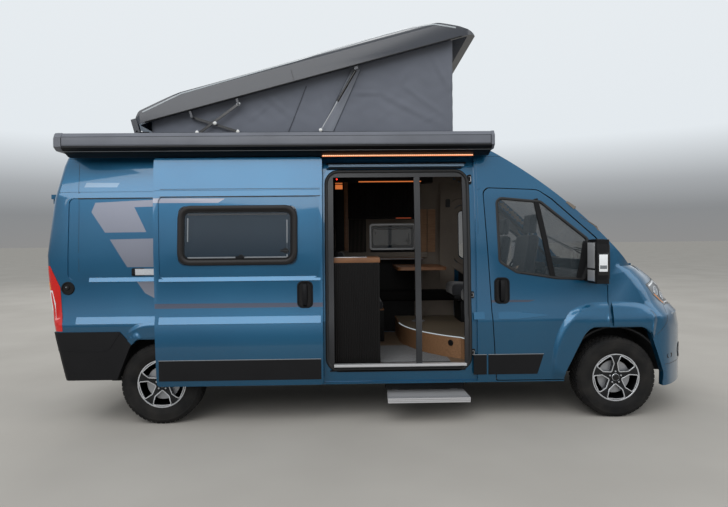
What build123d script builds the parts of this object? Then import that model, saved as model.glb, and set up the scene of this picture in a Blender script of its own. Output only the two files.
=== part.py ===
from build123d import *
import math
import os

# Camper van: a panel van with a raised sleeping roof, its sliding side door open and its step out.
# Millimetres. +X is forward, +Y is the van's left, +Z is up, and the wheels stand on z = 0.

os.makedirs("parts", exist_ok=True)

# Overall sizes
LENGTH = 5998
WHEELBASE = 4035
FRONT_OVERHANG = 948
FRONT_X = LENGTH / 2
REAR_X = -LENGTH / 2
FRONT_AXLE = FRONT_X - FRONT_OVERHANG
REAR_AXLE = FRONT_AXLE - WHEELBASE
ROOF_Z = 2524
SILL_Z = 335
GAP = 8

# Walls
WALL = 60
ROOF_THICK = 50
REBATE = 30
GLASS = 8

# Half-width of the body at each height, from the sill to the shoulder
SIDE_SECTION = (
    # half width, height
    (1005, 280),
    (1025, 430),
    (1025, 893),
    (1004, 955),
    (985, 1500),
    (940, 2000),
    (858, 2488),
)
SHOULDER_RADIUS = 170
CROWN_RADIUS = 4000

# Centre-line profile of the nose, as distance behind the bumper's face and height.
# It runs a little ahead of the plan outlines below, which shape the nose up to the bonnet.
NOSE_CENTRE = FRONT_AXLE - 3551
NOSE_PROFILE = (
    # behind the face, height, corner radius
    (88, 280, 0),
    (-12, 440, 150),
    (-12, 800, 150),
    (5, 925, 100),
    (112, 1035, 100),
    (180, 1150, 100),
    (275, 1240, 150),
    (400, 1327, 200),
)
COWL_X, COWL_Z = FRONT_X - 669, 1352
SCREEN_MID_X, SCREEN_MID_Z = FRONT_X - 1263, 1963
HEADER_X, HEADER_Z = FRONT_X - 1899, 2415
BROW_MID_X, BROW_MID_Z = FRONT_X - 2144, 2500
BROW_X = FRONT_X - 2429

# Plan outline at each height: the tail's bow in side view and the curve of the nose
PLAN_LEVELS = (
    # height, rear wall ahead of the tail, nose behind the face, nose's radius in plan
    (100, 259, 0, 1270),
    (430, 182, 0, 1270),
    (776, 102, 0, 1270),
    (906, 77, 25, 1270),
    (1023, 59, 140, 1270),
    (1144, 40, 204, 1270),
    (1237, 30, 300, 1350),
    (1321, 22, 425, 1500),
    (1352, 19, 480, 1500),
    (1500, 14, 480, 1500),
    (2000, 65, 480, 1500),
    (2290, 129, 480, 1500),
    (2488, 204, 480, 1500),
    (2700, 284, 480, 1500),
)
PLAN_MARGIN = 3
WIDEST = 1040
NOSE_CORNER_RADIUS = 300
REAR_CORNER_RADIUS = 70
REAR_WALL_X = REAR_X + 14
TAIL_EDGE_X, TAIL_EDGE_Z = REAR_X + 167, 2380

# Where the body panels part
ROOF_SEAM_Z = 2352
CAB_DOOR_FRONT = FRONT_AXLE - 76
BONNET_REAR = COWL_X + 12

# Wheels and axles
TYRE_RADIUS = 356
TYRE_WIDTH = 225
RIM_RADIUS = 214
RIM_BORE = 203
TRACK_FRONT = 1810
TRACK_REAR = 1790
KINGPIN_Y = 830
HUB_RADIUS = 40
RUNNING_GAP = 0.3
SPOKES = 5

# Floor
FLOOR_Z = 480
FLOOR_THICK = 80

# Doorway, sliding door and cab doors, forward edges measured from the front axle
DOORWAY_REAR, DOORWAY_FRONT = FRONT_AXLE - 2564, FRONT_AXLE - 1314
DOORWAY_LOW, DOORWAY_HIGH = 464, 2215
SLIDER_REAR, SLIDER_FRONT = FRONT_AXLE - 4039, FRONT_AXLE - 2606
SLIDER_LOW, SLIDER_HIGH = 356, 2342
SLIDER_OUT = 85
CAB_DOOR_LOW = 353

# Sleeping roof: its shell is drawn closed and turned up about the tail hinge
ROOF_ANGLE = 14.85
ROOF_HINGE_X, ROOF_HINGE_Z = FRONT_AXLE - 4266, 2600
SHELL_HALF = 870
SHELL_THICK = 28
SHELL_LIP_Z = 2655
SHELL_TAIL_X, SHELL_NOSE_X = FRONT_AXLE - 4291, FRONT_AXLE - 1078
TENT_HALF = 780
TENT_THICK = 15
HATCH = (FRONT_AXLE - 2200, FRONT_AXLE - 1450, -360, 360)

# Awning
AWNING_REAR, AWNING_FRONT = FRONT_AXLE - 4838, FRONT_AXLE - 1110
AWNING_LOW, AWNING_HIGH = 2392, 2540
AWNING_OUT = 1120

# Step
STEP_REAR, STEP_FRONT = FRONT_AXLE - 2051, FRONT_AXLE - 1337
STEP_OUT, STEP_IN = 1150, 872
STEP_Z = 219
STEP_THICK = 42


# Helpers

def block(x0, x1, y0, y1, z0, z1):
    """Box between two corners."""
    size = Box(x1 - x0, y1 - y0, z1 - z0)
    return Pos((x0 + x1) / 2, (y0 + y1) / 2, (z0 + z1) / 2) * size


def closed_face(points, radius):
    """Flat face inside a closed outline, its corners rounded."""
    if radius == 0:
        return make_face(Polyline(*points, close=True))
    return make_face(FilletPolyline(*points, radius=radius, close=True))


def prism_y(points, y0, y1, radius=0):
    """Outline of (x, z) points, extruded from y0 to y1."""
    face = closed_face([(x, y0, z) for x, z in points], radius)
    return extrude(face, amount=y1 - y0, dir=(0, 1, 0))


def prism_x(points, x0, x1, radius=0):
    """Outline of (y, z) points, extruded from x0 to x1."""
    face = closed_face([(x0, y, z) for y, z in points], radius)
    return extrude(face, amount=x1 - x0, dir=(1, 0, 0))


def prism_z(points, z0, z1, radius=0):
    """Outline of (x, y) points, extruded from z0 to z1."""
    face = closed_face([(x, y, z0) for x, y in points], radius)
    return extrude(face, amount=z1 - z0, dir=(0, 0, 1))


def rod(start, end, radius):
    """Round bar between two points."""
    axis = Vector(*end) - Vector(*start)
    return extrude(Plane(origin=start, z_dir=axis) * Circle(radius), amount=axis.length)


def mirrored(shape):
    """The same piece on the other side of the van."""
    return mirror(shape, about=Plane.XZ)


def both_sides(shape):
    """A right-hand piece and its left-hand twin."""
    return shape + mirrored(shape)


def save(node, *shapes):
    """Write one node's solids."""
    solids = []
    for shape in shapes:
        solids.extend(shape.solids())
    export_step(Compound(solids), f"parts/{node}.step")
    print(node, len(solids))


# Body envelope

def section_face(inset, drop, bottom):
    """Cross-section of the body, its sides moved in by inset and its roof down by drop."""
    side = [(half - inset, height) for half, height in SIDE_SECTION]
    side[0] = (side[0][0], bottom)
    side[-1] = (side[-1][0], side[-1][1] - drop)
    left = [(-half, height) for half, height in reversed(side)]
    points = [*side, (0, ROOF_Z - drop), *left]
    radii = [0] * (len(side) - 1) + [SHOULDER_RADIUS, CROWN_RADIUS, SHOULDER_RADIUS] + [0] * (len(side) - 1)
    return points, radii


def nose_solid(inset, drop, bottom):
    """Nose, bonnet and windscreen, turned about an upright axis so that they curve in plan."""
    lower = [(FRONT_X - behind, height) for behind, height, radius in NOSE_PROFILE]
    radii = [radius for behind, height, radius in NOSE_PROFILE][1:]
    lower[0] = (lower[0][0], bottom)
    chain = FilletPolyline(
        *[(x, 0, z) for x, z in [*lower, (COWL_X, COWL_Z)]], radius=radii)
    screen = ThreePointArc(
        (COWL_X, 0, COWL_Z), (SCREEN_MID_X, 0, SCREEN_MID_Z), (HEADER_X, 0, HEADER_Z))
    top = ROOF_Z + 6
    brow = ThreePointArc(
        (HEADER_X, 0, HEADER_Z), (BROW_MID_X, 0, BROW_MID_Z), (BROW_X, 0, top))
    back = Polyline(
        (BROW_X, 0, top), (NOSE_CENTRE, 0, top), (NOSE_CENTRE, 0, bottom), (lower[0][0], 0, bottom))
    face = make_face([chain.edges(), screen.edges(), brow.edges(), back.edges()])
    axis = Axis((NOSE_CENTRE, 0, 0), (0, 0, 1))
    # Half a turn puts the seam of the turned solid behind the van, away from the nose.
    turned = revolve(face, axis=axis).rotate(axis, 180)
    return Pos(-inset, 0, -drop) * turned


def side_half(height):
    """Half-width of the body's side at this height."""
    for (half, low), (next_half, high) in zip(SIDE_SECTION, SIDE_SECTION[1:]):
        if height <= high:
            share = max(0, (height - low) / (high - low))
            return half + share * (next_half - half)
    return SIDE_SECTION[-1][0]


def plan_solid(inset):
    """Stack of plan outlines: a straight rear wall, rounded corners and a wide curve at the nose."""
    sections = []
    for height, ahead, behind, curve in PLAN_LEVELS:
        half = side_half(height) + PLAN_MARGIN - inset
        rear = REAR_X + ahead + inset
        front = FRONT_X - behind - inset
        radius = curve - inset
        edge = front - radius + math.sqrt(radius ** 2 - half ** 2)
        bow = ThreePointArc((edge, -half, height), (front, 0, height), (edge, half, height))
        walls = Polyline((edge, half, height), (rear, half, height), (rear, -half, height), (edge, -half, height))
        face = make_face([bow.edges(), walls.edges()])
        corners = face.vertices().sort_by(Axis.X)
        face = fillet(corners[:2], REAR_CORNER_RADIUS - inset / 2)
        corners = [corner for corner in face.vertices() if abs(corner.X - edge) < 1]
        sections.append(fillet(corners, NOSE_CORNER_RADIUS - inset))
    return loft(sections, ruled=True)


def tail_solid(inset, drop):
    """Limits the body at the rounded edge between the roof and the rear wall."""
    start = (TAIL_EDGE_X, 0, TAIL_EDGE_Z)
    end = (TAIL_EDGE_X + 156, 0, ROOF_Z + 2)
    edges = [
        Polyline(end, (TAIL_EDGE_X + 156, 0, 2700), (FRONT_X + 200, 0, 2700),
                 (FRONT_X + 200, 0, 0), (REAR_X - 300, 0, 0), (REAR_X - 300, 0, TAIL_EDGE_Z), start).edges(),
        ThreePointArc(start, (TAIL_EDGE_X + 48, 0, ROOF_Z - 40), end).edges(),
    ]
    face = make_face(edges)
    return Pos(inset, -1500, -drop) * extrude(face, amount=3000, dir=(0, 1, 0))


def envelope(inset, drop, bottom):
    """Solid of the whole body, smaller all round by inset at the walls and drop at the roof."""
    points, radii = section_face(inset, drop, bottom)
    body = prism_x(points, REAR_X - 100, FRONT_X + 100, radii)
    body = body & nose_solid(inset, drop, bottom)
    body = body & plan_solid(inset)
    return body & tail_solid(inset, drop)


def side_band(outer, inner, low=280):
    """Right-hand slab that follows the side's section, between two insets."""
    heights = [height for half, height in SIDE_SECTION]
    halves = [half for half, height in SIDE_SECTION]
    heights[0] = low
    out = [(-(half - outer), height) for half, height in zip(halves, heights)]
    back = [(-(half - inner), height) for half, height in zip(halves, heights)]
    return prism_x([*out, *reversed(back)], REAR_X, FRONT_X)


# The wheel arches' lips and the rear bumper stand this far out from the sides.
PROUD = 10
outer_body = envelope(0, 0, 280)
inner_body = envelope(WALL, ROOF_THICK, 100)
shell = outer_body - inner_body
rebate_body = envelope(REBATE, ROOF_THICK, 100)
proud_body = envelope(-PROUD, 0, 280)


# Openings in the body, in side view

def arch_points(axle, rear, front, rear_top, front_top, top):
    """Wheel-arch outline around an axle: half-lengths at the bottom and the top, and its height."""
    return [
        (axle - rear, 200), (axle - rear, 400), (axle - rear_top - 60, top - 60), (axle - rear_top, top),
        (axle + front_top, top), (axle + front_top + 60, top - 60), (axle + front, 400), (axle + front, 200),
    ]


ARCH_RADII = [0, 60, 90, 90, 90, 90, 60, 0]
FRONT_ARCH = arch_points(FRONT_AXLE, 470, 418, 240, 240, 812)
REAR_ARCH = arch_points(REAR_AXLE, 375, 375, 195, 195, 758)
LIP = 38
FRONT_LIP = arch_points(FRONT_AXLE, 470 + LIP, 418 + LIP, 240 + LIP, 240 + LIP, 812 + LIP)
REAR_LIP = arch_points(REAR_AXLE, 375 + LIP, 375 + LIP, 195 + LIP, 195 + LIP, 758 + LIP)
front_arch = prism_y(FRONT_ARCH, -1300, 1300, ARCH_RADII)
rear_arch = prism_y(REAR_ARCH, -1300, 1300, ARCH_RADII)
lip_skin = proud_body - outer_body
front_lip = (prism_y(FRONT_LIP, -1300, 1300, ARCH_RADII) - front_arch) & lip_skin
rear_lip = (prism_y(REAR_LIP, -1300, 1300, ARCH_RADII) - rear_arch) & lip_skin


def cab_door_points(grow):
    """Outline of a cab door, or of its opening when grown."""
    rear_low = FRONT_AXLE - 1074 - grow
    rear_high = FRONT_AXLE - 1169 - grow
    front = CAB_DOOR_FRONT + grow
    return [
        (rear_low, CAB_DOOR_LOW - grow),
        (front, CAB_DOOR_LOW - grow),
        (front, 1440 + grow),
        (FRONT_AXLE - 172 + grow, 1604 + grow),
        (FRONT_AXLE - 560 + grow, 1955 + grow),
        (FRONT_AXLE - 680, 2040 + grow),
        (rear_high, 2062 + grow),
    ]


CAB_DOOR_RADII = [20, 20, 60, 80, 90, 120, 60]
CAB_WINDOW = [
    (FRONT_AXLE - 1040, 1400),
    (FRONT_AXLE - 886, 1305),
    (FRONT_AXLE - 528, 1250),
    (FRONT_AXLE - 252, 1240),
    (FRONT_AXLE - 243, 1600),
    (FRONT_AXLE - 655, 1938),
    (FRONT_AXLE - 1055, 1976),
]
CAB_WINDOW_RADII = [60, 60, 100, 25, 25, 50, 50]


REAR_DOOR_HALF = 781
HEADER_HALF = 800
REAR_DOOR_LOW, REAR_DOOR_HIGH = 560, ROOF_SEAM_Z - 12
REAR_DOOR_SPLIT = 12
SCREEN_LOW, SCREEN_HIGH = COWL_Z + 24, 2300


def screen_points(grow):
    """Windscreen outline, seen from the front."""
    low_half = 842 + grow
    high_half = 735 + grow
    return [(-low_half, SCREEN_LOW - grow), (low_half, SCREEN_LOW - grow),
            (high_half, SCREEN_HIGH + grow), (-high_half, SCREEN_HIGH + grow)]


def bonnet_points(grow):
    """Bonnet outline, seen from the front."""
    return [(-560 - grow, 1000 - grow), (560 + grow, 1000 - grow),
            (775 + grow, 1500), (-775 - grow, 1500)]


LAMP_OUTLINE = [
    (FRONT_AXLE + 300, 1180), (FRONT_AXLE + 500, 1215), (FRONT_AXLE + 800, 1040),
    (FRONT_AXLE + 900, 960), (FRONT_AXLE + 520, 985), (FRONT_AXLE + 380, 1080),
]
TAIL_LAMP_OUTLINE = [
    (REAR_X - 50, 835), (REAR_X + 176, 835), (REAR_X + 150, 1215), (REAR_X + 60, 1405), (REAR_X - 50, 1405),
]
CLADDING_OUTLINE = [
    (REAR_X - 50, 280), (REAR_AXLE - 150, 280), (REAR_AXLE - 150, 706), (REAR_AXLE - 239, 706),
    (REAR_AXLE - 345, 826), (REAR_X - 50, 826),
]
BUMPER_OUTLINE = [
    (FRONT_AXLE + 300, 200), (FRONT_X + 60, 200), (FRONT_X + 60, 992), (FRONT_AXLE + 495, 992),
    (FRONT_AXLE + 480, 850), (FRONT_AXLE + 360, 740), (FRONT_AXLE + 300, 740),
]
LAMP_INNER = 470
TAIL_LAMP_INNER = 850

bonnet_zone = prism_x(bonnet_points(GAP), BONNET_REAR - GAP, FRONT_X + 50)
bonnet_body = prism_x(bonnet_points(0), BONNET_REAR, FRONT_X + 50)
screen_hole = prism_x(screen_points(0), FRONT_AXLE - 1100, FRONT_X, 60)
lamp_zone = both_sides(prism_y(LAMP_OUTLINE, -1100, -LAMP_INNER))
tail_lamp_zone = both_sides(prism_y(TAIL_LAMP_OUTLINE, -1100, -TAIL_LAMP_INNER))
cladding_zone = both_sides(prism_y(CLADDING_OUTLINE, -1100, -REAR_DOOR_HALF - GAP))
cab_door_hole = prism_y(cab_door_points(GAP), -1300, 1300, CAB_DOOR_RADII)
rear_door_hole = block(REAR_X - 50, REAR_X + 260, -REAR_DOOR_HALF - GAP, REAR_DOOR_HALF + GAP,
                       REAR_DOOR_LOW - GAP, REAR_DOOR_HIGH + GAP)


# Side panels

WING_LINE = [
    (CAB_DOOR_FRONT + GAP, 200), (FRONT_X + 50, 200), (FRONT_X + 50, 1700), (COWL_X + 8, 1700),
    (COWL_X + 8, COWL_Z + 2), (CAB_DOOR_FRONT + GAP, 1262),
]
wing_zone = prism_y(WING_LINE, -1300, 1300)
upper_zone = block(REAR_X - 50, FRONT_X, -1300, 1300, ROOF_SEAM_Z, 2700)

# Pressed panel along each side, with a groove above it
RECESS_DEEP, GROOVE_DEEP = 8, 5
RECESS_REAR, RECESS_FRONT = REAR_X + 212, FRONT_AXLE - 1221
RECESS_LOW, RECESS_HIGH = 1282, 2000
GROOVE = (2042, 2054)
recess_band = side_band(-20, RECESS_DEEP)
recess = recess_band & prism_y([(RECESS_REAR, RECESS_LOW), (RECESS_FRONT, RECESS_LOW),
                                (RECESS_FRONT, RECESS_HIGH), (RECESS_REAR, RECESS_HIGH)], -1300, -700, 50)
groove = side_band(-20, GROOVE_DEEP) & block(REAR_X + 130, FRONT_AXLE - 1190, -1300, -700, *GROOVE)

side_shell = shell & block(REAR_X - 50, FRONT_X, -1300, 0, SILL_Z, ROOF_SEAM_Z - 2)
side_shell = side_shell - groove
side_shell = side_shell + (rear_lip & block(REAR_AXLE - 500, REAR_AXLE + 500, -1300, 0, SILL_Z, 1000))
side_shell = side_shell - wing_zone
side_shell = side_shell - screen_hole
side_shell = side_shell - cab_door_hole
side_shell = side_shell - rear_door_hole
side_shell = side_shell - tail_lamp_zone
side_shell = side_shell - cladding_zone
side_shell = side_shell - front_arch
side_shell = side_shell - rear_arch
# What is left across the middle of the screen's base and the tail belongs to other panels.
side_shell = side_shell - block(REAR_X - 50, REAR_X + 400, -REAR_DOOR_HALF - GAP, 10, 200, 2700)
side_shell = side_shell - block(FRONT_AXLE - 100, FRONT_X, -850, 10, 200, 2700)
side_shell = side_shell - block(FRONT_AXLE - 1100, FRONT_X, -HEADER_HALF, 10, 2200, 2700)

doorway = prism_y([(DOORWAY_REAR, DOORWAY_LOW), (DOORWAY_FRONT, DOORWAY_LOW),
                   (DOORWAY_FRONT, DOORWAY_HIGH), (DOORWAY_REAR, DOORWAY_HIGH)], -1300, -700, 70)
rebate_ring = outer_body - rebate_body
rebate_zone = block(DOORWAY_REAR - 70, DOORWAY_FRONT + 72, -1300, 0, SLIDER_LOW - 6, ROOF_SEAM_Z - 9)
rail_z = 1320
rail_slot = block(SLIDER_REAR - 230, DOORWAY_REAR - 70, -1300, -970, rail_z, rail_z + 44)
# On the right the doorway parts the pressed panel, and the pillar ahead of it has one of its own.
PILLAR_LOW, PILLAR_HIGH = 1625, ROOF_SEAM_Z - 20
DOORWAY_MIDDLE = (DOORWAY_REAR + DOORWAY_FRONT) / 2
pillar_recess = recess_band & prism_y([(DOORWAY_MIDDLE, PILLAR_LOW), (RECESS_FRONT, PILLAR_LOW),
                                       (RECESS_FRONT, PILLAR_HIGH), (DOORWAY_MIDDLE, PILLAR_HIGH)], -1300, -700, 25)
right_recess = (recess & block(REAR_X, DOORWAY_MIDDLE, -1300, -700, 1000, 2200)) + pillar_recess
right_panel = side_shell - right_recess - doorway
right_panel = right_panel - (rebate_ring & rebate_zone)
right_panel = right_panel - (rebate_ring & rail_slot)


# Windows of the living space: a flange outside the skin and a plug through it

def window_hole(x0, x1, z0, z1):
    """Hole through a side wall for a window of this outline."""
    rim = 24
    return prism_y([(x0 + rim, z0 + rim), (x1 - rim, z0 + rim), (x1 - rim, z1 - rim), (x0 + rim, z1 - rim)],
                   -1300, -700, 40)


def window_unit(x0, x1, z0, z1, skin, depth):
    """Right-hand hinged window, its flange on the skin at this inset."""
    flange = prism_y([(x0, z0), (x1, z0), (x1, z1), (x0, z1)], -1300, -700, 60)
    rim = 25
    plug = prism_y([(x0 + rim, z0 + rim), (x1 - rim, z0 + rim), (x1 - rim, z1 - rim), (x0 + rim, z1 - rim)],
                   -1300, -700, 38)
    return (side_band(skin - 16, skin) & flange) + (side_band(skin - 1, skin + depth) & plug)


SLIDER_WINDOW = (FRONT_AXLE - 3852, FRONT_AXLE - 2825, 1403, 1914)
FAR_WINDOWS = (
    # rear x, front x, low z, high z
    (FRONT_AXLE - 2144, FRONT_AXLE - 1561, 1481, 1820),
    (FRONT_AXLE - 4500, FRONT_AXLE - 3800, 1481, 1820),
)
left_panel = mirrored(side_shell - recess)
far_units = []
for window in FAR_WINDOWS:
    left_panel = left_panel - mirrored(window_hole(*window))
    far_units.append(mirrored(window_unit(*window, RECESS_DEEP, WALL)))

# The sliding door's rear edge leans back, and the pressed panel runs on across it.
SLIDER_TOP_REAR = SLIDER_REAR - 42
slider_outline = [(SLIDER_REAR, SLIDER_LOW), (SLIDER_FRONT, SLIDER_LOW),
                  (SLIDER_FRONT, SLIDER_HIGH), (SLIDER_TOP_REAR, SLIDER_HIGH)]
slider = side_band(-SLIDER_OUT, WALL - SLIDER_OUT) & prism_y(slider_outline, -1300, -700, 30)
slider_recess = [(SLIDER_REAR + 28, RECESS_LOW), (SLIDER_FRONT - 36, RECESS_LOW),
                 (SLIDER_FRONT - 36, RECESS_HIGH), (SLIDER_REAR + 8, RECESS_HIGH)]
slider = slider - (side_band(-SLIDER_OUT - 20, RECESS_DEEP - SLIDER_OUT) & prism_y(slider_recess, -1300, -700, 50))
slider = slider - (side_band(-SLIDER_OUT - 20, GROOVE_DEEP - SLIDER_OUT)
                   & block(SLIDER_REAR - 20, SLIDER_FRONT - 20, -1300, -700, *GROOVE))
slider = slider - window_hole(*SLIDER_WINDOW)
# The middle roller arm runs in the rail, the upper and lower arms reach into the doorway.
roller_arm = block(SLIDER_REAR + 30, SLIDER_REAR + 110, -1045, -986, rail_z + 12, rail_z + 32)
lower_arm = block(SLIDER_FRONT - 130, SLIDER_FRONT - 40, -1080, -1025, 480, 520)
slider = slider + roller_arm + lower_arm
slider_window = window_unit(*SLIDER_WINDOW, RECESS_DEEP - SLIDER_OUT, WALL)

# Fixed halves of the rear door hinges
REAR_PIN_X, REAR_PIN_Y = REAR_X + 10, 795
REAR_HINGES = (900, 1960)
for z in REAR_HINGES:
    z0 = z + 40 + RUNNING_GAP
    barrel = rod((REAR_PIN_X, -REAR_PIN_Y, z0), (REAR_PIN_X, -REAR_PIN_Y, z0 + 40), 9)
    leaf = block(REAR_PIN_X, REAR_PIN_X + 110, -848, -REAR_PIN_Y, z0, z0 + 40) - outer_body
    right_panel = right_panel + barrel + leaf
    left_panel = left_panel + mirrored(barrel + leaf)
save("side_panel_right", right_panel)
save("side_panel_left", left_panel)
save("sliding_door", slider)
save("living_windows", slider_window, *far_units)


# Roof, nose panels and glass

roof_panel = shell & upper_zone
header = shell & block(FRONT_AXLE - 1100, FRONT_X, -HEADER_HALF, HEADER_HALF, 2200, ROOF_SEAM_Z)
roof_panel = (roof_panel + header) - screen_hole
roof_panel = roof_panel - block(HATCH[0], HATCH[1], HATCH[2], HATCH[3], 2300, 2700)
save("roof_panel", roof_panel)

screen = outer_body - Pos(-GLASS, 0, -GLASS) * outer_body
screen = screen & screen_hole
save("windscreen", screen)

bumper_zone = prism_y(BUMPER_OUTLINE, -1300, 1300)
UPPER_GRILLE = (-440, 440, 888, 975)
LOWER_GRILLE = (-600, 600, 440, 640)
grille_zone = block(FRONT_AXLE + 500, FRONT_X + 60, *UPPER_GRILLE)
grille_zone = grille_zone + block(FRONT_AXLE + 500, FRONT_X + 60, *LOWER_GRILLE)
nose_shell = shell & block(CAB_DOOR_FRONT, FRONT_X + 60, -1300, 1300, 280, 1600)
front_bumper = (nose_shell & bumper_zone) - front_arch - lamp_zone - grille_zone
lamp_zone = lamp_zone - bonnet_zone
headlamps = nose_shell & lamp_zone
wings = (nose_shell & wing_zone) - bumper_zone - bonnet_zone - front_arch - lamp_zone
wings = wings - block(CAB_DOOR_FRONT - 100, BONNET_REAR, -850, 850, 200, 1700)
wings = wings & block(CAB_DOOR_FRONT, FRONT_X, -1300, 1300, SILL_Z, 1700)
wing_lip = front_lip & block(CAB_DOOR_FRONT + GAP, FRONT_X, -1300, 1300, SILL_Z, 1000)
wings = wings + ((wing_lip - bumper_zone) & wing_zone)
front_bumper = front_bumper + (wing_lip & bumper_zone)
bonnet = nose_shell & bonnet_body
grille = nose_shell & grille_zone
for low, high, count in ((UPPER_GRILLE[2], UPPER_GRILLE[3], 3), (LOWER_GRILLE[2], LOWER_GRILLE[3], 5)):
    half = UPPER_GRILLE[1] if low == UPPER_GRILLE[2] else LOWER_GRILLE[1]
    pitch = (high - low) / count
    for row in range(count):
        z = low + pitch * row
        for side in (-1, 1):
            y0, y1 = sorted((side * 12, side * (half - 20)))
            grille = grille - block(FRONT_AXLE + 500, FRONT_X + 60, y0, y1, z + 8, z + pitch - 8)

# Bonnet hinge: a knuckle on the bonnet beside one on the cowl, each side
BONNET_PIN_X, BONNET_PIN_Z = BONNET_REAR - 2, COWL_Z + 6
for y in (-600, 600):
    knuckle = rod((BONNET_PIN_X, y, BONNET_PIN_Z), (BONNET_PIN_X, y + 24, BONNET_PIN_Z), 8)
    tongue = block(BONNET_PIN_X, BONNET_PIN_X + 46, y, y + 24, BONNET_PIN_Z - 34, BONNET_PIN_Z + 2)
    bonnet = bonnet + knuckle + tongue

# Socket for a towing eye: a round way through the bumper to a threaded hole in the beam behind it
TOW_Y, TOW_Z = -420, 402
TOW_RADIUS, TOW_DEPTH = 9, 50
front_bumper = front_bumper - rod((FRONT_X - 300, TOW_Y, TOW_Z), (FRONT_X + 100, TOW_Y, TOW_Z), 24)
save("front_bumper", front_bumper)
save("headlamps", headlamps)
save("front_wings", wings)
save("bonnet", bonnet)
save("grille", grille)


# Cab doors with their glass and mirrors, drawn on the right

HINGE_X, HINGE_Y = CAB_DOOR_FRONT + 3, 1032
door_shell = shell & prism_y(cab_door_points(0), -1300, 0, CAB_DOOR_RADII)
door_shell = door_shell - front_arch
door_window = prism_y(CAB_WINDOW, -1300, -700, CAB_WINDOW_RADII)
cab_door = door_shell - door_window
for z in (860, 1190):
    cab_door = cab_door + rod((HINGE_X, -HINGE_Y, z), (HINGE_X, -HINGE_Y, z + 30), 7)
    cab_door = cab_door + block(HINGE_X - 20, HINGE_X, -HINGE_Y - 2, -980, z, z + 30)
cab_glass = side_band(12, 12 + GLASS) & door_window
MIRROR_HALF = 1254
MIRROR_X = (FRONT_AXLE - 285, FRONT_AXLE - 145)
mirror_head = prism_z(
    [(MIRROR_X[0], -MIRROR_HALF), (MIRROR_X[1] - 30, -MIRROR_HALF), (MIRROR_X[1], -1150),
     (MIRROR_X[1] - 15, -1075), (MIRROR_X[0], -1065)], 1215, 1590, 22)
mirror_arm = block(FRONT_AXLE - 235, FRONT_AXLE - 165, -1100, -1020, 1235, 1290)
mirror_foot = block(FRONT_AXLE - 250, FRONT_AXLE - 150, -1030, -985, 1215, 1310)
door_mirror = mirror_head + mirror_arm + mirror_foot
door_mirror = door_mirror - door_shell
for side, turn in (("right", lambda shape: shape), ("left", mirrored)):
    save(f"cab_door_{side}", turn(cab_door))
    save(f"cab_glass_{side}", turn(cab_glass))
    save(f"door_mirror_{side}", turn(door_mirror))


# Rear doors, lamps and bumper

REAR_WINDOW = (-690, -130, 1380, 1960)
rear_door = shell & block(REAR_X - 50, REAR_X + 260, -REAR_DOOR_HALF, -REAR_DOOR_SPLIT,
                          REAR_DOOR_LOW, REAR_DOOR_HIGH)
rear_window = prism_x([(REAR_WINDOW[0], REAR_WINDOW[2]), (REAR_WINDOW[1], REAR_WINDOW[2]),
                       (REAR_WINDOW[1], REAR_WINDOW[3]), (REAR_WINDOW[0], REAR_WINDOW[3])],
                      REAR_X - 50, REAR_X + 300, 70)
rear_glass = (outer_body - Pos(GLASS, 0, 0) * outer_body) & rear_window
rear_door = rear_door - rear_window
for z in REAR_HINGES:
    rear_door = rear_door + rod((REAR_PIN_X, -REAR_PIN_Y, z), (REAR_PIN_X, -REAR_PIN_Y, z + 40), 9)
    leaf = block(REAR_PIN_X, REAR_PIN_X + 110, -REAR_PIN_Y, -740, z, z + 40)
    rear_door = rear_door + (leaf - outer_body)
for side, turn in (("right", lambda shape: shape), ("left", mirrored)):
    save(f"rear_door_{side}", turn(rear_door))
    save(f"rear_glass_{side}", turn(rear_glass))

save("tail_lamps", shell & tail_lamp_zone)

BUMPER_LOW, BUMPER_HIGH = 405, 826
rear_bumper = (proud_body - inner_body) & block(REAR_X - 50, REAR_AXLE - 150, -1100, 1100, BUMPER_LOW, BUMPER_HIGH)
rear_bumper = rear_bumper & prism_y(CLADDING_OUTLINE, -1300, 1300)
rear_bumper = rear_bumper - rear_arch
rear_bumper = rear_bumper - block(REAR_X - 50, REAR_X + 300, -REAR_DOOR_HALF - GAP, REAR_DOOR_HALF + GAP,
                                  REAR_DOOR_LOW - GAP, 900)
save("rear_bumper", rear_bumper)


# Wheels, drawn about the Y axis at the right front and copied to each place

def tyre_solid():
    """Tyre, turned about its axle."""
    half = TYRE_WIDTH / 2
    profile = [
        # radius, offset along the axle
        (RIM_RADIUS, half - 18), (RIM_RADIUS + 26, half - 5), (RIM_RADIUS + 76, half),
        (TYRE_RADIUS - 26, half - 4), (TYRE_RADIUS - 5, half - 20), (TYRE_RADIUS, half - 42),
    ]
    points = [(radius, offset, 0) for radius, offset in profile]
    points += [(radius, -offset, 0) for radius, offset in reversed(profile)]
    return revolve(make_face(Polyline(*points, close=True)), axis=Axis.Y)


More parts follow.
